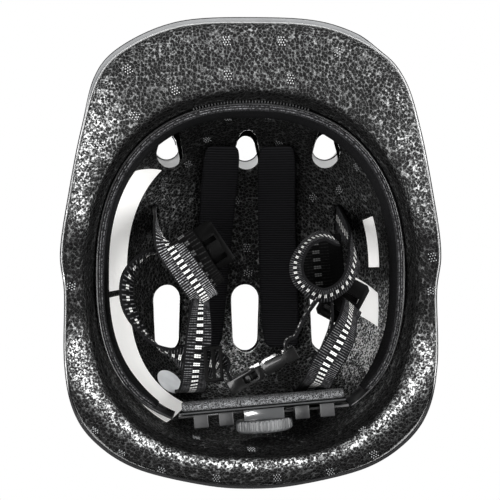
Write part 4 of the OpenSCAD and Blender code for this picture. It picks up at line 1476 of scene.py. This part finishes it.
@dataclass
class HeadRing:
    """The plastic ring band and its brushed pad, held on four pins inside the rim."""

    base: float = 17.0
    height: float = 27.0
    band: float = 1.2
    pad: float = 3.0
    start: float = 118.0
    stop: float = 413.0
    rear: float = 87.0
    tail_height: float = 16.0
    widen: float = 20.0
    bare: float = 7.0
    wall_gap: float = 0.7
    taper: float = 0.62
    teeth: int = 38
    tooth_step: float = 1.05
    tooth: Triple = (0.7, 1.3, 1.6)
    columns: int = 300
    run: float = 520.0

    def point(self, angle: float, z: float, inset: float) -> Vector:
        """Returns a point on the ring.

        Args:
            angle: Degrees round the head from +X.
            z: Height.
            inset: How far it is drawn in.

        Returns:
            The point.
        """
        way = way_at(angle)
        radius = FORM.cavity_oval(way, self.rear) * FORM.dome_share(FORM.up(z), FORM.cavity_power)
        return FORM.at(way, radius - self.wall_gap - inset, z)

    def half(self, angle: float) -> float:
        """Returns half of the ring's height at an angle."""
        near = ease(min(angle - self.start, self.stop - angle) / self.widen)
        return mix(self.tail_height, self.height, near) / 2.0

    def lay(self, run: float, rise: float, inset: float) -> Vector:
        """Returns a point on the ring.

        Args:
            run: Share of the way from its left end to its right end.
            rise: Share of its half height, from -1 to 1.
            inset: Depth off its outer face.

        Returns:
            The point.
        """
        angle = mix(self.start, self.stop, run)
        return self.point(angle, self.base + self.height / 2.0 + rise * self.half(angle), inset)

    def build(self) -> None:
        """Builds the band, its pad, the pad's overlocked lower edge and the teeth."""
        size = (self.run, self.height)
        lay = self.lay
        band = laid_grid("ring_band_moulding", self.columns, 8, lambda u, v: lay(u, 2.0 * v - 1.0, 0.0), size)
        add_modifier(band, "SOLIDIFY", thickness=self.band * MM, offset=-1.0)
        round_edges(band, 0.35, 40.0, 40.0)
        dress(band, BAND, "ring_band")
        Padding("ring_pad", "ring_pad_cloth", RING_CLOTH, 0.8, self.columns, 3.0).build(self.pad_point)
        middle = self.band + self.pad / 2.0
        dress(self.trim("ring_pad_overlock", middle, 1.75, 1.1, 0.2), RING_EDGE)
        seams = [self.trim("ring_seam", middle + side, 0.3, 0.3, -0.85) for side in (-0.75, 0.55)]
        dress(join(seams, "ring_pad_stitching"), STITCHES)
        self.build_teeth()

    def trim(self, name: str, inset: float, wide: float, tall: float, rise: float) -> Piece:
        """Adds a rounded strip along the pad's lower edge.

        Args:
            name: The new piece's name.
            inset: Its middle's depth off the band's outer face.
            wide: Half of its width.
            tall: Half of its height.
            rise: Its middle's height over the pad's lower edge.

        Returns:
            The strip.
        """

        def place(u: float, v: float) -> Vector:
            """Places a point of the strip, which closes at its ends.

            Args:
                u: Share of the way along.
                v: Share of the way round its section.

            Returns:
                The point.
            """
            angle = mix(self.start + self.bare, self.stop - self.bare, u)
            thin = min(1.0, min(u, 1.0 - u) / 0.01)
            z = self.base + self.height / 2.0 - self.half(angle) + rise + tall * sin(tau * v) * thin
            return self.point(angle, z, inset + wide * cos(tau * v) * thin)

        return laid_grid(name, 420, 12, place, (self.run, 8.0))

    def build_teeth(self) -> None:
        """Builds the row of small size-adjusting teeth on the ring's outer face at the brow."""
        teeth = []
        for index in range(self.teeth):
            angle = 270.0 + (index - (self.teeth - 1) / 2.0) * self.tooth_step
            tooth = add_primitive("cube", size=1.0)
            tooth.data.transform(Matrix.Diagonal((*(Vector(self.tooth) * MM), 1.0)))
            spot = self.point(angle, self.base - 0.2, -0.5)
            tooth.data.transform(shift(*spot) @ turned(angle - 270.0))
            teeth.append(tooth)
        row = join(teeth, "ring_size_teeth")
        add_modifier(row, "BEVEL", width=0.15 * MM, segments=1)
        shade(row, 40.0)
        dress(row, TOOTH_PLASTIC)

    def pad_point(self, run: float, rise: float, depth: float) -> Vector:
        """Returns a point of the pad.

        Args:
            run: Share of its half length.
            rise: Share of its half height.
            depth: -1 at its back, 1 at its face.

        Returns:
            The point.
        """
        end = self.bare / (self.stop - self.start)
        share = mix(end, 1.0 - end, (run + 1.0) / 2.0)
        thick = self.pad * (1.0 - self.taper * ease((rise + 0.3) / 1.3))
        return self.lay(share, rise, self.band + thick * (1.0 + depth) / 2.0)


@dataclass
class CrownPads:
    """The two long ribbed pads under the crown, wider apart at the rear, the left one leaning and tapered."""

    width: float = 22.0
    length: float = 116.0
    thick: float = 7.0
    x: float = 18.8
    y: float = -3.5
    splay: float = 2.0
    lean: float = 2.4
    taper: float = 0.09
    lift: float = 1.4

    def build(self) -> None:
        """Builds both pads."""
        for side, word in ((-1.0, "left"), (1.0, "right")):
            pad = Padding(f"crown_pad_{word}", f"crown_pad_{word}_knit", PAD_CLOTH, 0.7, 150, 3.0, 8.0)
            pad.build(partial(self.point, side))

    def point(self, side: float, run: float, across: float, depth: float) -> Vector:
        """Returns a point of a pad.

        Args:
            side: -1 for the left pad, 1 for the right.
            run: Share of its half length.
            across: Share of its half width.
            depth: -1 at its face, 1 at its back.

        Returns:
            The point.
        """
        half, left = self.length / 2.0, side < 0.0
        turn = self.splay + self.lean * left
        across *= 1.0 - self.taper * left * (1.0 + run)
        x = side * (self.x + run * half * tan(radians(turn))) + across * self.width / 2.0
        y = self.y + run * half
        return Vector((x, y, FORM.cavity_z(x, y) - self.lift - self.thick * (1.0 - depth) / 2.0))


@dataclass
class RearRack:
    """The dial rack behind the head: padded plate, guide clips, tails, housing and ribbed knob."""

    place: Triple = (7.0, 83.6, 31.0)
    turn: float = -5.0
    plate: float = 1.6
    pad: float = 5.7
    pad_length: float = 88.0
    pad_height: float = 22.0
    bead: float = 0.5
    mouldings: tuple[Moulding, ...] = (
        Moulding("rear_plate", "rear_plate_moulding", 0.4, BLACK_PLASTIC),
        Moulding("rack_clips", "guide_clip_mouldings", 0.5, CLIP_PLASTIC, segments=3),
        Moulding("tail_left", "tail_left_strip", 0.2, STRIP_PLASTIC, Body.TAIL_LEFT),
        Moulding("tail_right", "tail_right_strip", 0.2, STRIP_PLASTIC, Body.TAIL_RIGHT),
        Moulding("dial_housing", "dial_housing_moulding", 0.8, HOUSING_PLASTIC, segments=3),
        Moulding("dial_knob", "dial_knob_ribbed", 0.15, KNOB_PLASTIC, Body.DIAL),
    )

    def build(self) -> None:
        """Builds the rack's pieces."""
        Padding("rear_pad", "rear_pad_fleece", FLEECE, 0.7, 90, 4.0, 14.0).build(self.pad_point)
        for moulding in self.mouldings:
            moulding.build()
        dress(tube("rear_plate_highlight_bead", 60, 10, self.bead_path, (self.pad_length, 3.0)), BEAD_HIGHLIGHT)

    def at(self, x: float, y: float, z: float) -> Vector:
        """Returns a point of the rack's own frame in the helmet's."""
        return (shift(*self.place) @ turned(self.turn) @ (Vector((x, y, z)) * MM)) / MM

    def bead_path(self, run: float) -> tuple[Vector, ...]:
        """Gives the middle and half widths of the plate's lower bead.

        Args:
            run: Share of the way along.

        Returns:
            The middle and the two half widths.
        """
        x, z = (run - 0.5) * (self.pad_length + 1.0), -self.pad_height / 2.0 - 0.2
        middle = self.at(x, -1.2, z)
        return middle, self.at(x, self.bead - 1.2, z) - middle, Vector((0.0, 0.0, self.bead))

    def pad_point(self, run: float, rise: float, depth: float) -> Vector:
        """Returns a point of the rear pad.

        Args:
            run: Share of its half length.
            rise: Share of its half height.
            depth: -1 at its face, 1 at its back.

        Returns:
            The point.
        """
        bow = (1.0 - 0.18 * rise**4) * (1.0 - 0.45 * ease((rise + 0.6) / 1.6))
        through = -self.plate - self.pad * (1.0 - depth) / 2.0 * bow
        return self.at(run * self.pad_length / 2.0, through, rise * self.pad_height / 2.0)


@dataclass
class Strap:
    """One length of webbing, laid through stops of a point and the direction across it."""

    name: str
    stops: tuple[Stop, ...]
    node: str = ""
    finish: Finish = WEBBING
    width: float = 15.0
    thick: float = 1.5
    steps: int = 12

    def place(self, u: float, v: float) -> Vector:
        """Places a point of the webbing's middle sheet.

        Args:
            u: Share of the way along.
            v: Share of the way across.

        Returns:
            The point.
        """
        points, sides = ([Vector(part) for part in parts] for parts in zip(*self.stops))
        step = 0.5 / (self.steps * (len(points) - 1))
        ahead = on_curve(points, min(u + step, 1.0)) - on_curve(points, max(u - step, 0.0))
        tangent = ahead.normalized()
        side = on_curve(sides, u)
        across = (side - side.dot(tangent) * tangent).normalized()
        return on_curve(points, u) + across * (v - 0.5) * self.width

    def lay(self) -> Piece:
        """Builds the webbing.

        Returns:
            The webbing, in place and riding on nothing.
        """
        points = [Vector(stop[0]) for stop in self.stops]
        count = self.steps * (len(points) - 1)
        marks = [on_curve(points, index / count) for index in range(count + 1)]
        run = sum((after - before).length for before, after in zip(marks, marks[1:]))
        piece = laid_grid(self.name, count, 8, self.place, (run, self.width))
        add_modifier(piece, "SOLIDIFY", thickness=self.thick * MM, offset=0.0)
        round_edges(piece, 0.4, 50.0, 60.0)
        return piece

    def build(self) -> None:
        """Builds the webbing and dresses it."""
        dress(self.lay(), self.finish, *([self.node] if self.node else []))


UPRIGHT = (0.0, 0.0, 1.0)
SIDEWAYS = (1.0, 0.0, 0.0)
LENGTHWAYS = (0.0, 1.0, 0.0)
SLANT = (0.83, -0.55, 0.0)
FOLDED = (0.83, -0.55, 0.1)

STRAPS = (
    Strap("webbing_front_left", (
        ((-53, -21, 113.8), LENGTHWAYS), ((-53, -21, 92), LENGTHWAYS), ((-52, -18, 62), (0.2, 1, 0)),
        ((-50, -14, 34), (0.3, 1, 0)), ((-47, -8, 16), (0.6, 0.6, 0)), ((-41, 0, 8), (0.8, -0.3, 0)),
        ((-34, 10, 6), SLANT), ((-27, 20, 5.5), SLANT), ((-24, 25, 5.5), SLANT),
    ), "strap_front_left", WEBBING_PALE_PICKS),
    Strap("webbing_rear_left", (
        ((-34, 78, 101.8), SIDEWAYS), ((-34, 78, 84), SIDEWAYS), ((-34, 77.7, 68), SIDEWAYS),
        ((-32.5, 75, 34), (1, 0, 0.2)), ((-31, 71, 12), (1, 0, 0.4)), ((-29.8, 62, 6.5), (1, 0, 0.5)),
        ((-28, 44, 6), (1, 0, 0.5)), ((-27.5, 30, 6), (0.75, 0, 0.8)), ((-27, 24, 6), (0.6, 0, 0.9)),
    ), "strap_rear_left"),
    Strap("webbing_chin_left", (
        ((-38.4, -1.6, 25.5), UPRIGHT), ((-47, -1, 25), (0.1, 0, 1)), ((-57, 1.5, 21), (0.3, 0, 1)),
        ((-66, 13, 17), (0.4, 0, 1)), ((-65, 30, 15), (0.4, 0, 1)), ((-54, 46, 14), (0.2, 0.1, 1)),
        ((-43, 53, 12.5), (0.1, 0.4, 1)), ((-33, 56, 10.4), (0, 1, 0.12)),
        ((-21, 58.5, 9.6), (-0.1, 1, 0.12)),
        ((-14.5, 61.5, 12.2), (0, 0.3, 1)), ((-10.9, 66.6, 12), UPRIGHT), ((-9.2, 69.8, 11.5), UPRIGHT),
    ), "chin_strap_left"),
    Strap("webbing_front_right", (
        ((53, -21, 113.8), LENGTHWAYS), ((53, -21, 92), LENGTHWAYS), ((54, -14, 62), LENGTHWAYS),
        ((56, -6, 34), (0.2, 0.8, 0.6)), ((55, 4, 16), (0.45, 0.1, 1)), ((50, 16, 11), (0.45, 0.3, 1)),
        ((38.4, 22.3, 10), (0, 0.55, 1)), ((27, 16, 10), (-0.4, 0.2, 1)), ((24, 6, 10), (-0.4, -0.1, 1)),
        ((29, -4.5, 10), (-0.1, -0.3, 1)), ((37, -9, 12), (0.1, -0.3, 1)), ((45, -7.5, 16), (0.3, -0.2, 1)),
    ), "strap_front_right"),
    Strap("webbing_rear_right", (
        ((34, 78, 101.8), SIDEWAYS), ((34, 78, 84), SIDEWAYS), ((34, 77.7, 68), SIDEWAYS),
        ((34.5, 72, 34), (1, 0.1, 0)), ((36, 68, 13), (0.9, 0.4, 0)), ((39, 60, 4.5), (0.83, 0.55, 0)),
        ((45.8, 48.6, 4.5), (0.83, 0.55, 0.1)), ((51, 38, 8.5), (0.7, 0.35, 0.65)),
        ((53, 31, 15.5), (0.5, 0.3, 0.85)), ((54, 27.5, 22), (0.7, 0.3, 0.6)),
    ), "strap_rear_right"),
    Strap("webbing_tail_right", (
        ((43.5, 26, 15.5), (0.1, 0, 1)), ((43, 38, 14.5), UPRIGHT), ((39, 49, 14.5), UPRIGHT),
        ((33, 58, 17), (0, 0.3, 1)),
    ), "strap_tail_right"),
    # The straps' second plies, folded back behind each divider, in the weave painted darker as painted shade
    Strap("webbing_fold_left", (
        ((-38, -9, 12), FOLDED), ((-33, -2, 10), FOLDED), ((-26.5, 9, 8), FOLDED),
        ((-22, 15.5, 8.5), FOLDED), ((-20.5, 17.5, 11), FOLDED), ((-22, 16, 14), FOLDED),
    ), finish=WEBBING_PAINTED_SHADE),
    Strap("webbing_fold_right", (
        ((38, -10, 27), SIDEWAYS), ((39, 0, 25), SIDEWAYS), ((40, 10, 24), SIDEWAYS),
        ((41, 20, 23), SIDEWAYS),
    ), finish=WEBBING_PAINTED_SHADE, width=22.0),
)  # fmt: skip


@dataclass
class Harness:
    """The webbing, its dividers and levers, the slider and the chin buckle."""

    buckle_at: Triple = (5.8, 61.8, 11.5)
    buckle_turn: float = -28.8
    chin_right: tuple[Triple, ...] = ((35.6, 23.75, 10), (31, 30, 11), (28, 34.6, 11.5))
    # The right chin strap's end in the tongue's slot, in the buckle's own frame
    loop: tuple[Pair, ...] = ((24.4, -7.3), (21.4, -7.3), (18.4, -6.8), (16.4, -3.5), (16.4, 1.5))
    mouldings: tuple[Moulding, ...] = (
        Moulding("divider_left", "divider_left_frame", 0.6, BLACK_PLASTIC, segments=3),
        Moulding("divider_lever_left", "divider_left_cam", 0.5, BLACK_PLASTIC, Body.LEVER_LEFT, 3),
        Moulding("divider_right", "divider_right_frame", 0.6, BLACK_PLASTIC, segments=3),
        Moulding("divider_lever_right", "divider_right_cam", 0.5, BLACK_PLASTIC, Body.LEVER_RIGHT, 3),
        Moulding("ladder_slider", "slider_frame", 0.5, BLACK_PLASTIC, segments=3),
        Moulding("buckle_socket", "buckle_socket_moulding", 0.9, BUCKLE_PLASTIC, segments=4),
        Moulding("buckle_tongue", "buckle_tongue_moulding", 0.8, BUCKLE_PLASTIC, Body.TONGUE, 4),
        Moulding("prong_upper", "prong_upper_moulding", 0.3, BUCKLE_PLASTIC, Body.PRONG_UPPER),
        Moulding("prong_lower", "prong_lower_moulding", 0.3, BUCKLE_PLASTIC, Body.PRONG_LOWER),
    )

    def build(self) -> None:
        """Builds the straps, then the hardware on them."""
        for strap in STRAPS:
            strap.build()
        self.build_chin_right()
        for moulding in self.mouldings:
            moulding.build()

    def build_chin_right(self) -> None:
        """Builds the right chin strap and its end in the tongue as one length."""
        place = shift(*self.buckle_at) @ turned(self.buckle_turn)
        ends = [tuple(place @ (Vector((x, y, 0.0)) * MM) / MM) for x, y in self.loop]
        stops = tuple((spot, UPRIGHT) for spot in (*self.chin_right, *ends))
        piece = Strap("webbing_chin_right", stops).lay()
        piece.data.materials.clear()
        piece.data.materials.append(WEBBING.material())
        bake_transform(piece)
        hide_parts("chin_strap_right", "chin_strap_loop")
        LOG.info("%s: %d faces", piece.name, len(piece.data.polygons))


@dataclass
class Label:
    """A blank label that follows the cavity's wall, its ends leaning by skew, its second end tapered."""

    node: str
    angles: Pair
    heights: Pair
    width: float
    skew: Pair = (0.0, 0.0)
    taper: float = 0.0
    lift: float = 0.45
    thick: float = 0.3
    slope: float = 0.86

    def place(self, u: float, v: float) -> Vector:
        """Places a point of the label on the wall.

        Args:
            u: Share of the way along.
            v: Share of the way up.

        Returns:
            The point.
        """
        v *= 1.0 - self.taper * u
        z = mix(*self.heights, u) + self.slope * self.width * v
        return FORM.wall_point(mix(*self.angles, u) + mix(*self.skew, u) * v, z, self.lift)

    def build(self) -> None:
        """Builds the label."""
        run = abs(self.angles[1] - self.angles[0]) * 1.4
        film = laid_grid(f"{self.node}_film", 60, 12, self.place, (run, self.width))
        add_modifier(film, "SOLIDIFY", thickness=self.thick * MM, offset=-1.0)
        shade(film, 60.0)
        dress(film, LABEL, self.node)


@dataclass
class Labels:
    """The blank labels and the blank disc on the cavity's wall."""

    films: tuple[Label, ...] = (
        Label("label_left_front", (172.0, 221.5), (45.0, 51.0), 34.0, skew=(0.0, 10.0), taper=0.2),
        Label("label_left_rear", (119.0, 169.5), (37.0, 45.0), 37.0, skew=(-4.0, 0.0)),
        Label("label_right_strip", (-24.0, -2.0), (63.0, 63.0), 12.5),
        Label("label_right_square", (9.5, 23.0), (64.0, 60.0), 28.0, skew=(-7.0, -2.0)),
    )
    disc: float = 16.5
    disc_angle: float = 125.3
    disc_z: float = 78.0
    disc_lift: float = 0.8
    disc_thick: float = 0.3
    slope: float = 0.86

    def build(self) -> None:
        """Builds the labels and the disc."""
        for film in self.films:
            film.build()
        disc = laid_grid("size_disc_film", 24, 24, self.place, (self.disc, self.disc))
        add_modifier(disc, "SOLIDIFY", thickness=self.disc_thick * MM, offset=-1.0)
        shade(disc, 60.0)
        dress(disc, SILVER, "size_disc")

    def place(self, u: float, v: float) -> Vector:
        """Places a point of the disc on the wall.

        Args:
            u: Share of the way across the grid.
            v: Share of the way up the grid.

        Returns:
            The point.
        """
        a, b = 2.0 * u - 1.0, 2.0 * v - 1.0
        radius = self.disc / 2.0
        middle = FORM.wall_point(self.disc_angle, self.disc_z, 0.0)
        out = Vector((middle.x, middle.y - FORM.middle_y)).length
        turn = 2.0 * degrees(asin(radius / 2.0 / out))
        angle = self.disc_angle + turn * a * sqrt(1.0 - b * b / 2.0)
        z = self.disc_z + self.slope * radius * b * sqrt(1.0 - a * a / 2.0)
        return FORM.wall_point(angle, z, self.disc_lift)


@dataclass
class Fittings:
    """The CAD nodes that keep their shape: pins, hooks, anchors, pinion, spring and screw."""

    finishes: tuple[tuple[str, Finish], ...] = (
        ("ring_pins", BLACK_PLASTIC),
        ("crown_hooks_left", HOOKS),
        ("crown_hooks_right", HOOKS),
        ("dial_pinion", BLACK_PLASTIC),
        ("detent_spring", STEEL),
        ("dial_screw", STEEL),
        ("strap_anchors", BLACK_PLASTIC),
        ("divider_pin_left", STEEL),
        ("divider_pin_right", STEEL),
    )

    def build(self) -> None:
        """Gives each carried-over node its finish."""
        for node, finish in self.finishes:
            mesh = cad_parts[node].data
            mesh.materials.clear()
            mesh.materials.append(finish.material())
            LOG.info("%s: CAD shape in %s", node, finish.name)


@dataclass
class Studio:
    """The camera, the soft lights, the white room and the pale floor."""

    lens: float = 123.1
    eye: Triple = (-29.0, 3.0, -900.0)
    aim: Triple = (-1.05, -1.84, 0.0)
    floor: float = 6.0
    room_light: float = 0.28
    aim_height: float = 0.05
    # Each softbox: its name, its place in metres, its width in metres and its power in watts
    softboxes: tuple[tuple[str, Triple, float, float], ...] = (
        ("key_softbox", (-0.16, 0.1, -1.0), 0.18, 2.5),
        ("left_softbox", (-1.0, 0.1, -0.7), 1.1, 27.0),
        ("right_softbox", (1.0, -0.2, -0.7), 1.1, 30.0),
        ("brow_softbox", (0.1, -1.2, -0.6), 0.7, 8.0),
        ("nape_softbox", (-0.1, 1.2, -0.6), 0.7, 8.0),
        ("overhead_softbox", (0.3, -0.4, 1.6), 1.6, 45.0),
    )

    def build(self) -> None:
        """Sets up the studio."""
        scene = bpy.context.scene
        scene.view_settings.view_transform = "Standard"
        self.build_camera(scene)
        self.build_world(scene)
        self.build_floor()
        for softbox in self.softboxes:
            self.light(*softbox)

    def build_camera(self, scene: bpy.types.Scene) -> None:
        """Adds the camera, which looks up from below with the visor at the picture's top.

        Args:
            scene: The scene.
        """
        data = bpy.data.cameras.new("camera")
        data.lens = self.lens
        data.sensor_width = 36.0
        data.clip_end = 20.0
        camera = bpy.data.objects.new("camera", data)
        eye = Vector(self.eye) * MM
        ahead = (Vector(self.aim) * MM - eye).normalized()
        side = ahead.cross(Vector((0.0, -1.0, 0.0))).normalized()
        turn = Matrix((side, side.cross(ahead), -ahead)).transposed().to_4x4()
        camera.matrix_world = Matrix.Translation(eye) @ turn
        scene.collection.objects.link(camera)
        scene.camera = camera

    def build_world(self, scene: bpy.types.Scene) -> None:
        """Makes the room white to the camera and softer to the surfaces that it lights.

        Args:
            scene: The scene.
        """
        world = bpy.data.worlds.new("white_room")
        world.use_nodes = True
        add = partial(add_node, world.node_tree)
        seen, lit = add("Background", "FFFFFF", 1.0), add("Background", "FFFFFF", self.room_light)
        show(world.node_tree, add("MixShader", add("LightPath", out="Is Camera Ray"), lit, seen))
        scene.world = world

    def build_floor(self) -> None:
        """Adds the floor, which shows only from above."""
        floor = add_primitive("plane", size=self.floor)
        floor.name = "floor"
        material = FLOOR.material()
        add = partial(add_node, material.node_tree)
        shader = material.node_tree.nodes["Principled BSDF"].outputs[0]
        back = add("NewGeometry", out="Backfacing")
        show(material.node_tree, add("MixShader", back, shader, add("BsdfTransparent")))
        floor.data.materials.append(material)
        for ray in ("visible_diffuse", "visible_glossy", "visible_transmission", "visible_shadow"):
            setattr(floor, ray, False)

    def light(self, name: str, place: Triple, size: float, power_w: float) -> None:
        """Adds a softbox that points at the helmet.

        Args:
            name: The light's name.
            place: Where it stands, in metres.
            size: Its width.
            power_w: Its power in watts.
        """
        data = bpy.data.lights.new(name, "AREA")
        data.shape = "SQUARE"
        data.size = size
        data.energy = power_w
        lamp = bpy.data.objects.new(name, data)
        away = Vector(place) - Vector((0.0, 0.0, self.aim_height))
        turn = away.to_track_quat("Z", "Y").to_matrix().to_4x4()
        lamp.matrix_world = Matrix.Translation(Vector(place)) @ turn
        bpy.context.scene.collection.objects.link(lamp)


def main() -> None:
    logging.basicConfig(level=logging.INFO, format="%(relativeCreated)7d ms  %(message)s")
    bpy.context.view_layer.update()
    Studio().build()
    shell = Shell()
    shell.build()
    Liner(shell).build()
    HeadRing().build()
    CrownPads().build()
    RearRack().build()
    Harness().build()
    Labels().build()
    Fittings().build()


if __name__ == "__main__":
    main()
